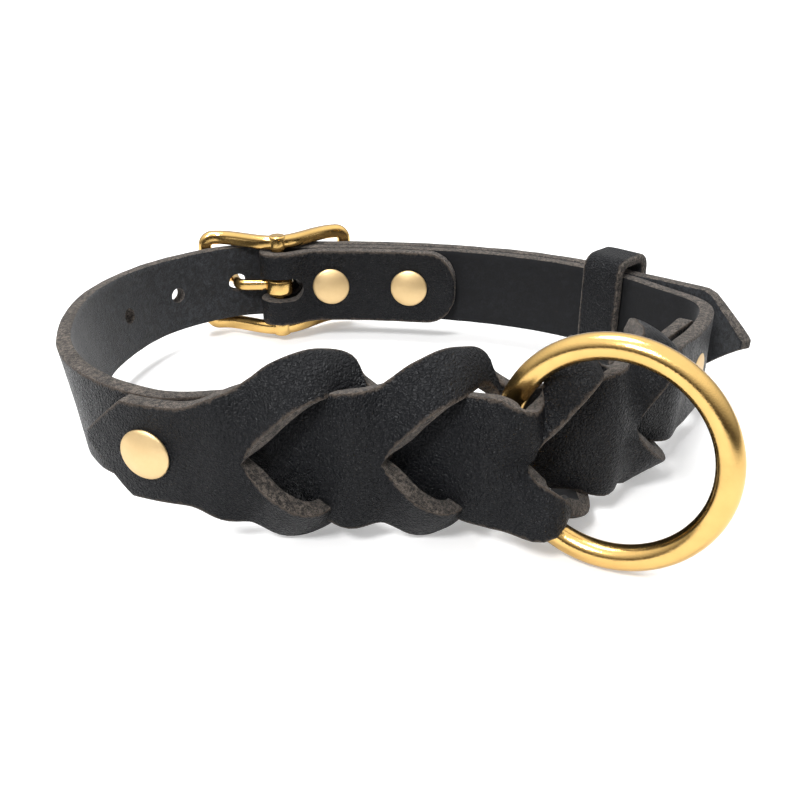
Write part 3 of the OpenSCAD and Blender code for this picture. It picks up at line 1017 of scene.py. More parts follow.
@dataclass(frozen=True)
class GrainFinish(Finish):
    """Dyed and lightly waxed grain side of bridle leather."""

    colour: Colour = (0.0040, 0.0044, 0.0056)
    dusty: Colour = (0.0078, 0.0083, 0.0098)
    worn: Colour = (0.120, 0.094, 0.074)
    pebble: float = 2400.0
    pebble_depth: float = 0.00060
    crease_depth: float = 0.0008
    roughness: Tuple[float, float] = (0.25, 0.35)
    wear_width: float = 0.085
    shine: float = 0.16

    def build(self, effects: Effects) -> bpy.types.Material:
        """Makes the material.

        Args:
            effects: The shared effects.

        Returns:
            The material.
        """
        material, n, shader, where = self.start()
        grain = self.effect(n, effects.pebbles, {"Vector": where, "Scale": self.pebble})
        dust = self.effect(n, effects.clouds, {"Vector": where, "Scale": 70.0})["Mask"]
        rim = n.add("SeparateXYZ", {0: n.add("UVMap", uv_map="rim").outputs[0]})
        wear = self.effect(n, effects.rim, {"Vector": where, "Distance": rim.outputs[0],
                                            "Width": self.wear_width})["Mask"]
        base = n.mix(n.math("MULTIPLY", dust, 0.7), opaque(self.colour), opaque(self.dusty))
        base = n.mix(n.math("MULTIPLY", wear, 0.75), base, opaque(self.worn))
        n.feed(shader.inputs["Base Color"], base)
        polish = n.spread(dust, 0.0, 1.0, *self.roughness)
        polish = n.math("ADD", polish, n.math("MULTIPLY", grain["Valley"], 0.10))
        n.feed(shader.inputs["Roughness"], n.math("ADD", polish, n.math("MULTIPLY", wear, 0.25)))
        shader.inputs["Specular IOR Level"].default_value = self.shine
        shader.inputs["IOR"].default_value = 1.5
        lay = n.add("UVMap", uv_map="lay").outputs[0]
        squeeze = n.add("VectorMath", {0: lay, 1: (1.0, 0.35, 1.0)}, operation="MULTIPLY")
        fold = n.noise(squeeze.outputs[0], 330.0, 2.0, 0.4)
        broad = n.add("Bump", {"Strength": 0.35, "Distance": self.crease_depth, "Height": fold})
        bump = n.add("Bump", {"Strength": 0.85, "Distance": self.pebble_depth,
                              "Height": grain["Height"], "Normal": broad.outputs[0]})
        n.feed(shader.inputs["Normal"], bump.outputs[0])
        return material


@dataclass(frozen=True)
class FibreFinish(Finish):
    """Flesh side or cut edge: matt, fibrous, with paler specks."""

    deep: Colour = (0.0050, 0.0056, 0.0070)
    pale: Colour = (0.0330, 0.0360, 0.0420)
    scale: float = 2600.0
    depth: float = 0.00025
    sheen: float = 0.25

    def build(self, effects: Effects) -> bpy.types.Material:
        """Makes the material.

        Args:
            effects: The shared effects.

        Returns:
            The material.
        """
        material, n, shader, where = self.start()
        fluff = self.effect(n, effects.fibres, {"Vector": where, "Scale": self.scale})
        patch = self.effect(n, effects.clouds, {"Vector": where, "Scale": 220.0})["Mask"]
        share = n.math("MULTIPLY", fluff["Specks"], n.spread(patch, 0.0, 1.0, 0.45, 1.0))
        n.feed(shader.inputs["Base Color"], n.mix(share, opaque(self.deep), opaque(self.pale)))
        n.feed(shader.inputs["Roughness"], n.spread(fluff["Specks"], 0.0, 1.0, 0.82, 0.98))
        shader.inputs["Specular IOR Level"].default_value = 0.25
        shader.inputs["Sheen Weight"].default_value = self.sheen
        shader.inputs["Sheen Roughness"].default_value = 0.5
        bump = n.add("Bump", {"Strength": 1.0, "Distance": self.depth, "Height": fluff["Height"]})
        n.feed(shader.inputs["Normal"], bump.outputs[0])
        return material


@dataclass(frozen=True)
class BrassFinish(Finish):
    """Solid brass, polished or tumbled."""

    bright: Colour = (0.78, 0.51, 0.18)
    dull: Colour = (0.54, 0.32, 0.10)
    roughness: Tuple[float, float] = (0.10, 0.24)
    marks: float = 500.0
    scratch_depth: float = 0.000012
    dulling: float = 0.35

    def build(self, effects: Effects) -> bpy.types.Material:
        """Makes the material.

        Args:
            effects: The shared effects.

        Returns:
            The material.
        """
        material, n, shader, where = self.start()
        marks = self.effect(n, effects.handling, {"Vector": where, "Scale": self.marks})
        smear = n.spread(marks["Smears"], 0.35, 0.7)
        tone = n.mix(n.math("MULTIPLY", smear, self.dulling), opaque(self.bright),
                     opaque(self.dull))
        n.feed(shader.inputs["Base Color"], tone)
        shader.inputs["Metallic"].default_value = 1.0
        rough = n.spread(smear, 0.0, 1.0, *self.roughness)
        n.feed(shader.inputs["Roughness"],
               n.math("ADD", rough, n.math("MULTIPLY", marks["Scratches"], 0.05)))
        bump = n.add("Bump", {"Strength": 0.5, "Distance": self.scratch_depth,
                              "Height": marks["Scratches"]})
        n.feed(shader.inputs["Normal"], bump.outputs[0])
        return material


@dataclass
class Wardrobe:
    """Every finish, made once."""

    effects: Effects = field(default_factory=Effects)

    def __post_init__(self) -> None:
        """Builds the materials."""
        self.grain = GrainFinish("black_grain").build(self.effects)
        self.flesh = FibreFinish("black_flesh").build(self.effects)
        self.sealed = FibreFinish("sealed_flesh", deep=(0.0045, 0.0047, 0.0055),
                                  pale=(0.0125, 0.0130, 0.0150), scale=1900.0, depth=0.00012,
                                  sheen=0.05).build(self.effects)
        self.cut = FibreFinish("cut_edge", deep=(0.012, 0.0105, 0.0095),
                               pale=(0.215, 0.178, 0.148), scale=4200.0, depth=0.0006,
                               sheen=0.10).build(self.effects)
        self.polished = BrassFinish("polished_brass").build(self.effects)
        self.satin = BrassFinish("satin_brass", bright=(0.75, 0.55, 0.29),
                                 dull=(0.64, 0.46, 0.23), roughness=(0.40, 0.52),
                                 scratch_depth=0.00003).build(self.effects)

    @property
    def leather(self) -> List[bpy.types.Material]:
        """Leather materials in the order of Face."""
        return [self.grain, self.flesh, self.cut]

    @property
    def smooth_leather(self) -> List[bpy.types.Material]:
        """The same, with the flesh side slicked down."""
        return [self.grain, self.sealed, self.cut]


# ---- pieces ----------------------------------------------------------------------------------
def settle(obj: bpy.types.Object, body: str, node: str) -> None:
    """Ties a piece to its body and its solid.

    Args:
        obj: The piece.
        body: The body that it moves with.
        node: The solid that it stands for.
    """
    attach(obj, body)
    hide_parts(node)
    LOG.info("%s: %d faces, on %s", obj.name, len(obj.data.polygons), body)


@dataclass
class Piece:
    """What every piece is made from."""

    shape: CollarShape
    stance: Stance
    wardrobe: Wardrobe

    def make(self, name: str, solid: Solid, material: bpy.types.Material, body: str, node: str,
             slot: str, crisp: Optional[float] = None) -> bpy.types.Object:
        """Makes a metal piece and ties it to its body.

        Args:
            name: Name of the piece.
            solid: Its points and faces.
            material: Its one finish.
            body: The body that it moves with.
            node: The solid that it stands for.
            slot: The record's material slot; not used.
            crisp: Angle in degrees above which edges stay crisp, none if left out.

        Returns:
            The piece.
        """
        obj = new_object(name, self.stance.world(solid.points), solid.faces, [material])
        if crisp is not None:
            sharpen(obj, crisp)
        settle(obj, body, node)
        return obj


@dataclass
class Straps(Piece):
    """Both leather straps, with their holes and the prong's slot. Sizes in millimetres."""

    per_pitch: int = 24
    step: float = 1.6
    columns: int = 9
    hole: float = 4.0
    used_hole: float = 5.0
    slot_h: float = 6.4
    slot_in: float = 8.25
    slot_out: float = 6.25
    waver: float = 0.11
    drill_deep: float = 12.0
    slot_deep: float = 9.9
    # rounding of a cut edge: distance in from the edge, and share of the half thickness there
    corner: Tuple[Tuple[float, float], ...] = ((0.0, 0.66), (0.14, 0.90), (0.5, 1.0))
    wall: Tuple[float, ...] = (0.33, 0.0, -0.33)

    def stations(self, s0: float, s1: float) -> Array:
        """Distances along a strap, with every crossing of the braid among them.

        Args:
            s0: Where the stretch starts.
            s1: Where it ends.

        Returns:
            The distances, in order.
        """
        k = self.shape.k
        b0 = self.shape.braid - k.pitch
        b1 = self.shape.braid_end + k.pitch
        braid = b0 + np.arange(6 * self.per_pitch + 1) * k.pitch / self.per_pitch
        before = np.linspace(s0, b0, max(2, math.ceil((b0 - s0) / self.step)))
        after = np.linspace(b1, s1, max(2, math.ceil((s1 - b1) / self.step)))
        ends = [s0, s0 + 0.14, s0 + 0.5, s1 - 0.5, s1 - 0.14, s1]
        both = np.r_[before, braid, after, ends]
        return np.unique(np.round(both[(both >= s0) & (both <= s1)], 6))

    def columns_at(self, reach: Array) -> Array:
        """Shares from slit to outer edge, crowded where the edges are rounded.

        Args:
            reach: Length across the half at each station.

        Returns:
            One row of shares for each station.
        """
        near = [d for d, _ in self.corner]
        inner = np.linspace(0, 1, self.columns)[1:-1]
        rows = [d / reach for d in near]
        start, stop = near[-1] / reach, 1 - near[-1] / reach
        rows += [start + (stop - start) * u for u in inner]
        rows += [1 - d / reach for d in reversed(near)]
        return np.stack(rows, 1)

    def sheet(self, strap: Strap, s: Array) -> bpy.types.Object:
        """Builds one strap.

        Args:
            strap: Which strap.
            s: Its stations.

        Returns:
            The strap, not yet cut.
        """
        shape, half = self.shape, self.shape.k.half
        is_open = shape.is_open(strap, s)
        near, full = zip(*self.corner)
        rings, rims, lays = [], [], []
        facings = {}
        for side in (1, -1):
            inner = shape.mid(strap, s, 0.0, side)
            outer = shape.mid(strap, s, 1.0, side)
            reach = np.maximum(np.linalg.norm(outer - inner, axis=1), 2.4 * near[-1])
            v = self.columns_at(reach)
            facings[side] = (v, reach, shape.mid(strap, s[:, None], v, side),
                             shape.facing(strap, s[:, None], v, side))
        shut = ~is_open
        mean = unit(facings[1][3][:, 0] + facings[-1][3][:, 0])
        for side in (1, -1):
            v, reach, mid, face = facings[side]
            face[shut, 0] = mean[shut]
            edge = (1 - v) * reach[:, None]
            slit = np.where(is_open[:, None], v * reach[:, None], 99.0)
            rim = np.minimum(edge, slit)
            thick = np.interp(rim, near, full)
            ends = np.minimum(s - s[0], s[-1] - s)
            thick = thick * np.interp(ends, near, (0.72, 0.93, 1.0))[:, None]
            top = mid + face * (half * thick)[..., None]
            low = mid - face * (half * thick)[..., None]
            far = mid[:, -1:] + face[:, -1:] * np.array(self.wall)[None, :, None] * half
            gap = mid[:, :1] - face[:, :1] * np.array(self.wall)[None, :, None] * half
            rings.append(np.concatenate([top, far, low[:, ::-1], gap], 1))
            flat = side * v * reach[:, None]
            many = len(self.wall)
            span = [(flat, rim), (flat[:, -1:].repeat(many, 1), np.zeros((len(s), many))),
                    (flat[:, ::-1], rim[:, ::-1]),
                    (flat[:, :1].repeat(many, 1), np.zeros((len(s), many)))]
            lays.append(np.concatenate([a for a, _ in span], 1))
            rims.append(np.concatenate([b for _, b in span], 1))
        return self._skin(strap, s, is_open, rings, lays, rims)

    def _skin(self, strap: Strap, s: Array, is_open: Array, rings: List[Array],
              lays: List[Array], rims: List[Array]) -> bpy.types.Object:
        """Joins the rings of points of both halves into one closed mesh.

        Args:
            strap: Which strap.
            s: Distances along the strap.
            is_open: Where the slit is open.
            rings: Points of each half, a ring at each station.
            lays: How far across the flat hide each point is, for the grain.
            rims: How near an edge each point is.

        Returns:
            The strap.
        """
        cols = rings[0].shape[1]
        skin_cols = (cols - 2 * len(self.wall)) // 2
        walls = len(self.wall)
        points = np.stack(rings, 1).reshape(-1, 3)
        shared = {0} | set(range(2 * skin_cols + walls - 1, cols))

        def index(i: int, half: int, j: int) -> int:
            """Number of a point; the two halves share their mid-line where there is no slit."""
            j %= cols
            return (i * 2 + (0 if j in shared and not is_open[i] else half)) * cols + j

        faces: List[Tuple[int, ...]] = []
        slots: List[int] = []
        for i in range(len(s) - 1):
            for half in (0, 1):
                for j in range(cols):
                    slit_wall = j >= 2 * skin_cols + walls - 1
                    if slit_wall and not (is_open[i] or is_open[i + 1]):
                        continue
                    quad = (index(i, half, j), index(i + 1, half, j), index(i + 1, half, j + 1),
                            index(i, half, j + 1))
                    faces.append(tuple(dict.fromkeys(quad)))
                    slit = is_open[i] or is_open[i + 1]
                    slots.append(self._side(j, skin_cols, walls, slit).value)
        for i in (0, len(s) - 1):
            for half in (0, 1):
                faces.append(tuple(index(i, half, j) for j in range(cols)))
                slots.append(Face.CUT.value)
        used = sorted({p for f in faces for p in f})
        renumber = {p: q for q, p in enumerate(used)}
        faces = [tuple(renumber[p] for p in f) for f in faces]
        along = np.repeat(s, 2 * cols)
        lay = np.stack([along, np.stack(lays, 1).reshape(-1)], -1) * MM
        rim = np.stack(rims, 1).reshape(-1) / 10
        world = self.stance.world(roughen(points[used], self.waver, 5.0))
        uvs = {"lay": lay[used], "rim": np.stack([rim, rim], -1)[used]}
        leather = (self.wardrobe.smooth_leather if strap is Strap.BUCKLE
                   else self.wardrobe.leather)
        return new_object(strap.name.lower() + "_strap_leather", world, faces, leather, slots,
                          uvs)

    def _side(self, j: int, skin_cols: int, walls: int, slit: bool) -> Face:
        """Which side of the leather a ring's face j is on, with or without a slit beside it.

        Args:
            j: Number of the face in its ring.
            skin_cols: Points across one side of the leather.
            walls: Points through the thickness.
            slit: Whether a slit is beside the ring.

        Returns:
            The side of the leather.
        """
        last, lip = skin_cols - 2, int(slit)
        if lip <= j < last:
            return Face.GRAIN
        back = j - skin_cols - walls
        if 0 < back <= last - lip:
            return Face.FLESH
        return Face.CUT

    def _drill(self, seat: Seat, outline: Array, deep: float) -> Solid:
        """A straight cutter through the leather, with a plan in (along, up).

        Args:
            seat: Where the cutter stands.
            outline: Its plan, in (along, up).
            deep: How far it reaches to each side.

        Returns:
            The cutter.
        """
        m = len(outline)
        ends = [seat.put(np.stack([outline[:, 0], np.full(m, y), outline[:, 1]], -1))
                for y in (-deep, deep)]
        faces = grid_faces(2, m, False) + [tuple(range(m)), tuple(range(m, 2 * m))]
        return Solid(np.vstack(ends), faces)

    def build_billet(self) -> bpy.types.Object:
        """The billet strap with its adjusting holes.

        Returns:
            The strap.
        """
        shape = self.shape
        strap = self.sheet(Strap.BILLET, self.stations(shape.tip, shape.joint_end))
        a = np.arange(40) * math.pi / 20
        circle = np.stack([np.cos(a), np.sin(a)], -1) / 2
        drills = []
        for i, s in enumerate(shape.holes):
            across = self.used_hole if i == len(shape.holes) // 2 else self.hole
            drills.append(self._drill(shape.loop.seat(s), circle * across, self.drill_deep))
        whole = sum(drills[1:], drills[0])
        cut(strap, new_object("hole_cutter", self.stance.world(whole.points), whole.faces,
                              [self.wardrobe.cut]))
        sharpen(strap)
        settle(strap, "collar", "billet_strap")
        return strap

    def build_buckle_strap(self) -> bpy.types.Object:
        """The buckle strap, folded round the bar, with the prong's slot.

        Returns:
            The strap.
        """
        shape = self.shape
        end = shape.loop.length + shape.fold_arc + shape.back_run
        s = self.stations(shape.tab, end)
        arc = shape.loop.length + np.linspace(0, shape.fold_arc, 40)
        s = np.unique(np.round(np.r_[s[(s < arc[0]) | (s > arc[-1])], arc], 6))
        strap = self.sheet(Strap.BUCKLE, s)
        r, mid = self.slot_h / 2, (self.slot_in - self.slot_out) / 2
        slot = rounded_box(self.slot_in + self.slot_out, self.slot_h, r - 0.01, 12)
        slot[:, 0] += mid
        tool = self._drill(shape.loop.seat(0, 0, shape.k.bar_n), slot, self.slot_deep)
        cut(strap, new_object("slot_cutter", self.stance.world(tool.points), tool.faces,
                              [self.wardrobe.cut]))
        sharpen(strap)
        settle(strap, "collar", "buckle_strap")
        return strap


@dataclass
class Keeper(Piece):
    """The leather loop that holds the billet's end. Sizes in millimetres."""

    width: float = 10.5
    thickness: float = 2.4
    rise: float = 2.2
    room: float = 1.1
    inner_round: float = 1.6
    edge: float = 0.45

    def build(self) -> bpy.types.Object:
        """The keeper, its strip a little crowned and its edges rounded.

        Returns:
            The keeper.
        """
        k, t = self.shape.k, self.thickness
        seat = self.shape.loop.seat(self.shape.keeper)
        w = 2 * (k.seam + self.room) + t
        h = k.width + 2 * self.rise + t
        plan = rounded_box(w, h, self.inner_round + t / 2, 10, 1.2)
        path = seat.put(np.stack([np.zeros(len(plan)), plan[:, 0], plan[:, 1]], -1))
        centre = seat.origin
        hw, ht, e = self.width / 2, t / 2, self.edge
        run = np.linspace(-hw + e, hw - e, 7)
        crown = 0.16 * (1 - (run / hw) ** 2)
        top = [(x, ht + c - 0.16) for x, c in zip(run, crown)]
        low = [(x, -ht) for x in run[::-1]]
        right = [(hw - 0.12, ht - 0.34), (hw, ht - 0.8), (hw, 0.0), (hw, 0.6 - ht),
                 (hw - 0.12, 0.2 - ht)]
        left = [(-x, y) for x, y in reversed(right)]
        profile = np.array(top + right + low + left)
        out = unit(path - centre)
        body = sweep(path, np.tile(seat.along, (len(path), 1)), profile, True)
        cols = len(profile)
        points = body.points
        # the sweep's second axis may point inwards; the grain belongs on the outside
        sample = points.reshape(-1, cols, 3)[:, 3] - path
        if float((sample * out).sum()) < 0:
            body = sweep(path, np.tile(-seat.along, (len(path), 1)), profile, True)
            points = body.points
        slots, rim_of = [], np.zeros(cols)
        grain, flesh = range(0, 6), range(12, 18)
        rim_of[:7] = np.minimum(run + hw, hw - run)
        for _ in range(len(path)):
            for j in range(cols):
                face = Face.GRAIN if j in grain else Face.FLESH if j in flesh else Face.CUT
                slots.append(face.value)
        rim = np.tile(rim_of / 10, len(path))
        girth = np.r_[0, np.cumsum(np.linalg.norm(np.diff(path, axis=0), axis=1))]
        lay = np.stack([np.repeat(girth, cols), np.tile(profile[:, 0], len(path))], -1) * MM
        world = self.stance.world(roughen(points, 0.08, 4.0))
        obj = new_object("keeper_leather", world, body.faces, self.wardrobe.leather, slots,
                         {"lay": lay, "rim": np.stack([rim, rim], -1)})
        settle(obj, "keeper", "keeper_loop")
        return obj


@dataclass
class Buckle(Piece):
    """The cast frame, its centre bar and the prong. Sizes in millimetres."""

    length: float = 42.0
    height: float = 28.0
    rail: float = 3.6
    rise: float = 8.4
    arch: float = 17.0
    turn: float = 2.0
    corner: float = 4.0
    boss: float = 4.8
    bar: float = 3.5
    prong: float = 2.4
    prong_w: float = 3.0
    prong_eye: float = 4.4
    touch: float = 0.15
    boss_lip: float = 0.45
    bar_room: float = 0.08
    eye_wall: float = 1.84

    @property
    def seat(self) -> Seat:
        """The bar's place."""
        return self.shape.loop.seat(0, 0, self.shape.k.bar_n)

    def _arch(self, x: Array) -> Array:
        """How far the frame stands off its bar."""
        return -self.rise * (1 - np.cos(np.pi * np.minimum(1, np.abs(x) / self.arch))) / 2

    def build_frame(self) -> bpy.types.Object:
        """The arched frame with bosses at the bar's ends.

        Returns:
            The frame.
        """
        plan = rounded_box(self.length - self.rail, self.height - self.rail,
                           self.corner - self.rail / 2, 8, 0.8)
        local = np.stack([plan[:, 0], self._arch(plan[:, 0]), plan[:, 1]], -1)
        seat = self.seat.turned(self.turn)
        path = seat.put(local)
        steps = unit(np.roll(plan, -1, 0) - np.roll(plan, 1, 0))
        side = np.stack([steps[:, 1], np.zeros(len(plan)), -steps[:, 0]], -1)
        side = side @ np.stack([seat.along, seat.inward, (0, 0, 1)])
        whole = sweep(path, side, soft_section(self.rail, self.rail, 2.9), True)
        half = self.rail / 2 + 0.1
        lip = self.boss_lip
        outline = [(0, -half), (self.boss / 2 - lip, -half), (self.boss / 2 - 0.12, -half + 0.16),
                   (self.boss / 2, -half + lip), (self.boss / 2, half - lip),
                   (self.boss / 2 - 0.12, half - 0.16), (self.boss / 2 - lip, half), (0, half)]
        for k in (-1, 1):
            centre = self.seat.put(np.array([0, 0, k * (self.height - self.rail) / 2]))
            whole = whole + turned(outline, centre, (0, 0, 1))
        return self.make("buckle_frame_brass", whole, self.wardrobe.polished, "collar",
                         "buckle_frame", "polished_brass", 50)

    def build_prong(self) -> bpy.types.Object:
        """The bent prong with its eye round the bar.

        Returns:
            The prong.
        """
        rail_x = (self.length - self.rail) / 2
        rail_out = (-self.rise + rail_x * math.sin(math.radians(self.turn)) - self.rail / 2)
        rest = rail_out - self.prong / 2
        bends = [(1.95, -1.27), (11.1, -2.6), (12.4, rest - self.touch),
                 (rail_x + 2.5, rest - 3 * self.touch)]
        plan = rounded_path(bends, 2.4, 8)
        path = self.seat.put(np.stack([plan[:, 0], plan[:, 1], np.zeros(len(plan))], -1))
        run = np.r_[0, np.cumsum(np.linalg.norm(np.diff(path, axis=0), axis=1))]
        tip = run[-1] - np.array([2.0, 1.2, 0.6, 0.25, 0.08, 0.0])
        rounded = np.stack([np.interp(tip, run, path[:, k]) for k in range(3)], -1)
        path = np.vstack([path[:-1], rounded])
        size = np.r_[np.ones(len(plan) - 1), 1.0, 0.99, 0.93, 0.8, 0.62, 0.4]
        up = np.tile((0.0, 0.0, 1.0), (len(path), 1))
        whole = sweep(path, up, soft_section(self.prong_w, self.prong, 2.5), False, size)
        mid_r = self.bar / 2 + self.bar_room + 0.96
        a = (np.arange(64) * math.pi / 32)[:, None]
        loop = self.seat.put(np.concatenate([mid_r * np.cos(a), mid_r * np.sin(a), 0 * a], -1))
        whole = whole + sweep(loop, np.tile((0.0, 0.0, 1.0), (64, 1)),
                              soft_section(self.prong_eye, self.eye_wall, 3.4), True)
        return self.make("prong_brass", whole, self.wardrobe.polished, "prong", "buckle_prong",
                         "polished_brass", 60)

    def dress_bar(self) -> bpy.types.Object:
        """The centre bar keeps its solid and gets a finish and eased ends.

        Returns:
            The bar.
        """
        bar = frame["nodes"]["buckle_bar"]
        bar.data.materials.clear()
        bar.data.materials.append(self.wardrobe.polished)
        bevel = bar.modifiers.new("eased_ends", "BEVEL")
        bevel.width, bevel.segments = 0.2 * MM, 2
        LOG.info("buckle_bar: dressed")
        return bar


@dataclass
class LeadRing(Piece):
    """The ring caught in the braid. Sizes in millimetres."""

    across: float = 44.0
    wire: float = 4.8
    offset: float = -1.4
    turn: float = 28.0
    lean: float = 4.0
    climb: float = 9.6

    def build(self) -> bpy.types.Object:
        """The round-wire ring.

        Returns:
            The ring.
        """
        r = (self.across - self.wire) / 2
        spin, tip = math.radians(self.turn), math.radians(self.lean)
        wide = np.array([math.cos(spin), -math.sin(spin), 0.0])
        across = np.array([math.sin(spin), math.cos(spin), 0.0])
        high = math.cos(tip) * np.array([0, 0, 1.0]) - math.sin(tip) * -across
        climb = math.radians(self.climb)
        centre = (self.shape.loop.place(self.shape.ring, 0, self.offset)
                  + r * math.cos(climb) * wide + r * math.sin(climb) * high)
        a = (np.arange(160) * math.pi / 80)[:, None]
        path = centre + r * (np.cos(a) * wide + np.sin(a) * high)
        whole = sweep(path, path - centre, soft_section(self.wire, self.wire, 2.0, 36), True)
        return self.make("lead_ring_brass", whole, self.wardrobe.polished, "ring", "lead_ring",
                         "polished_brass")


@dataclass
class Rivets(Piece):
    """Four domed caps and the studs under them. Sizes in millimetres."""

    across: float = 10.0
    dome: float = 1.65
    rim: float = 0.5
    head: float = 9.0
    post: float = 3.0
    post_over: float = 0.9

    def build(self) -> None:
        """Makes the rivets of both seams and of the fold."""
        shape, k = self.shape, self.shape.k
        fold_in, fold_out = k.back_n - k.half, -k.layer_gap / 2
        self.rivet("tab_rivet", shape.tab_rivet, k.seam, -k.seam)
        self.rivet("joint_rivet", shape.joint_rivet, -k.seam, k.seam)
        for name, s in zip(("fold_rivet_a", "fold_rivet_b"), shape.fold_rivets):
            self.rivet(name, s, fold_in, fold_out)

    def rivet(self, name: str, s: float, front: float, back: float) -> None:
        """Makes a cap and its stud.

        Args:
            name: Name of the rivet.
            s: Its distance along the loop.
            front: Offset of the leather's face under the cap.
            back: Offset of the leather's face under the stud.
        """
        axis = math.copysign(1.0, back - front) * self.shape.loop.seat(s).inward
        r, rise = self.across / 2, self.dome - self.rim
        ball = (r * r + rise * rise) / 2 / rise
        reach = math.asin((r - 0.18) / ball)
        arc = [(ball * math.sin(reach * u), self.dome - ball * (1 - math.cos(reach * u)))
               for u in np.linspace(1, 0, 12)]
        cap = [(0.3, 0.0), (r - 0.2, 0.0), (r - 0.04, 0.1), (r, 0.22), (r - 0.03, 0.42)] + arc
        h = self.head / 2
        deep = abs(front - back) + self.post_over
        stud = [(0.0, -0.22), (h * 0.55, -0.19), (h - 0.5, -0.08), (h - 0.1, 0.08), (h, 0.3),
                (h - 0.1, 0.55), (self.post / 2, 0.6), (self.post / 2, deep), (0.0, deep)]
        for part, outline, n in (("cap", cap, front), ("stud", stud, back)):
            body = turned(outline, self.shape.loop.place(s, 0, n), axis)
            self.make(f"{name}_{part}_brass", body, self.wardrobe.satin, "collar",
                      f"{name}_{part}", "satin_brass", 60)


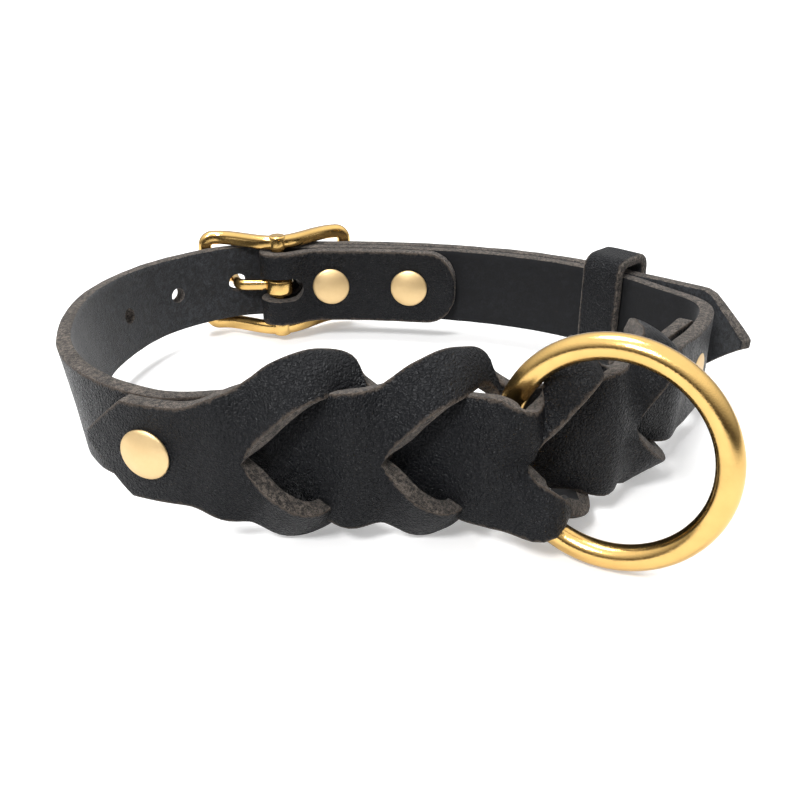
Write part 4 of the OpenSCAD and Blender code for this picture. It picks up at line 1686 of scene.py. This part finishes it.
# ---- studio ----------------------------------------------------------------------------------
@dataclass
class Studio:
    """Floor, sky, lamps and camera."""

    stance: Stance
    eye: Tuple[float, float, float] = (2.0, -190.0, 79.5)
    pitch: float = 25.8
    focal: float = 40.5
    sensor: float = 36.0
    floor_size: float = 12.0
    sky: float = 0.55
    gloss: Tuple[float, float] = (0.34, 1.4)
    glow: Tuple[float, float] = (0.30, 0.62)
    glow_reach: Tuple[float, float] = (0.10, 0.45)

    def build(self) -> None:
        """Sets everything up."""
        self._camera()
        self._floor()
        self._sky()
        self._lamps()
        bpy.context.scene.view_settings.view_transform = "Standard"

    def _camera(self) -> None:
        """A camera close in front, looking down on the braid."""
        data = bpy.data.cameras.new("studio_camera")
        data.sensor_width, data.lens = self.sensor, self.focal
        data.clip_start = 0.01
        camera = bpy.data.objects.new("studio_camera", data)
        a = math.radians(self.pitch)
        right = self.stance.direction((1, 0, 0))
        back = self.stance.direction((0, -math.cos(a), math.sin(a)))
        up = np.cross(back, right)
        at = self.stance.world(np.array(self.eye))
        rows = [(right[i], up[i], back[i], at[i]) for i in range(3)] + [(0, 0, 0, 1)]
        camera.matrix_world = Matrix(rows)
        bpy.context.scene.collection.objects.link(camera)
        bpy.context.scene.camera = camera

    def _floor(self) -> None:
        """A pale floor that keeps the collar's shadow."""
        low = min(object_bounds()[0][2], 0.0)
        h = self.floor_size / 2
        material = bpy.data.materials.new("pale_floor")
        material.use_nodes = True
        n = Nodes(material.node_tree)
        shader = material.node_tree.nodes["Principled BSDF"]
        shader.inputs["Base Color"].default_value = (0.86, 0.86, 0.86, 1)
        shader.inputs["Roughness"].default_value = 0.9
        shader.inputs["Emission Color"].default_value = (1, 1, 1, 1)
        path = n.add("LightPath")
        seen = n.math("MAXIMUM", path.outputs["Is Camera Ray"],
                      path.outputs["Is Transmission Ray"])
        away = n.add("VectorMath", {0: n.add("TexCoord").outputs["Object"]}, operation="LENGTH")
        glow = n.spread(away.outputs["Value"], *self.glow_reach, *self.glow)
        n.feed(shader.inputs["Emission Strength"], n.math("MULTIPLY", seen, glow))
        corners = np.array([(-h, -h, low), (h, -h, low), (h, h, low), (-h, h, low)])
        floor = new_object("floor", corners, [(0, 1, 2, 3)], [material])
        floor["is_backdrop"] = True

    def _sky(self) -> None:
        """White all round for what is seen, softer for what it lights, dimmer behind the eye."""
        world = bpy.data.worlds.new("studio")
        bpy.context.scene.world = world
        world.use_nodes = True
        n = Nodes(world.node_tree)
        back = world.node_tree.nodes["Background"]
        path = n.add("LightPath")
        seen = n.math("MAXIMUM", path.outputs["Is Camera Ray"],
                      path.outputs["Is Transmission Ray"])
        where = n.add("SeparateXYZ", {0: n.add("TexCoord").outputs["Generated"]})
        behind = n.spread(where.outputs[1], -0.75, 0.1, 1.0, 0.0)
        low = n.spread(where.outputs[2], 0.15, 0.75, 1.0, 0.0)
        shade = n.math("MULTIPLY", behind, low)
        room = n.mix(shade, (1, 1, 1, 1), (0.16, 0.14, 0.13, 1))
        lit = n.mix(path.outputs["Is Glossy Ray"], (1, 1, 1, 1), room)
        n.feed(back.inputs["Color"], n.mix(seen, lit, (1, 1, 1, 1)))
        high = n.spread(where.outputs[2], 0.05, 0.70, *self.gloss)
        glossy = n.math("MULTIPLY", path.outputs["Is Glossy Ray"],
                        n.math("SUBTRACT", high, self.sky))
        strength = n.math("ADD", self.sky, glossy)
        rest = n.math("MULTIPLY", seen, n.math("SUBTRACT", 1.0, strength))
        n.feed(back.inputs["Strength"], n.math("ADD", strength, rest))

    def _lamps(self) -> None:
        """Soft plain light from above."""
        self._lamp("overhead", (-0.12, 0.10, 0.75), 0.34, 5.0)
        self._lamp("front_fill", (-0.30, -0.60, 0.72), 0.20, 7.0)

    @staticmethod
    def _lamp(name: str, at: Tuple[float, float, float], size: float, watts: float) -> None:
        """One soft area lamp aimed at the collar.

        Args:
            name: Name of the lamp.
            at: Where it stands.
            size: Width of its square face.
            watts: Its power.
        """
        data = bpy.data.lights.new(name, "AREA")
        data.shape, data.size, data.energy = "DISK", size, watts
        lamp = bpy.data.objects.new(name, data)
        lamp.location = at
        lamp.rotation_euler = Vector(at).to_track_quat("Z", "Y").to_euler()
        bpy.context.scene.collection.objects.link(lamp)


def main() -> None:
    """Builds and dresses the whole collar."""
    logging.basicConfig(level=logging.INFO, format="%(message)s")
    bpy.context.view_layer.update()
    sizes = LeatherSizes()
    loop = NeckLoop(sizes.neck_length, sizes.neck_depth)
    shape = CollarShape(loop, sizes)
    stance = Stance(loop.place(0, 0, sizes.bar_n))
    wardrobe = Wardrobe()
    made_from = (shape, stance, wardrobe)
    straps = Straps(*made_from)
    straps.build_billet()
    straps.build_buckle_strap()
    Keeper(*made_from).build()
    buckle = Buckle(*made_from)
    buckle.build_frame()
    buckle.build_prong()
    buckle.dress_bar()
    LeadRing(*made_from).build()
    Rivets(*made_from).build()
    Studio(stance).build()


if __name__ == "__main__":
    main()
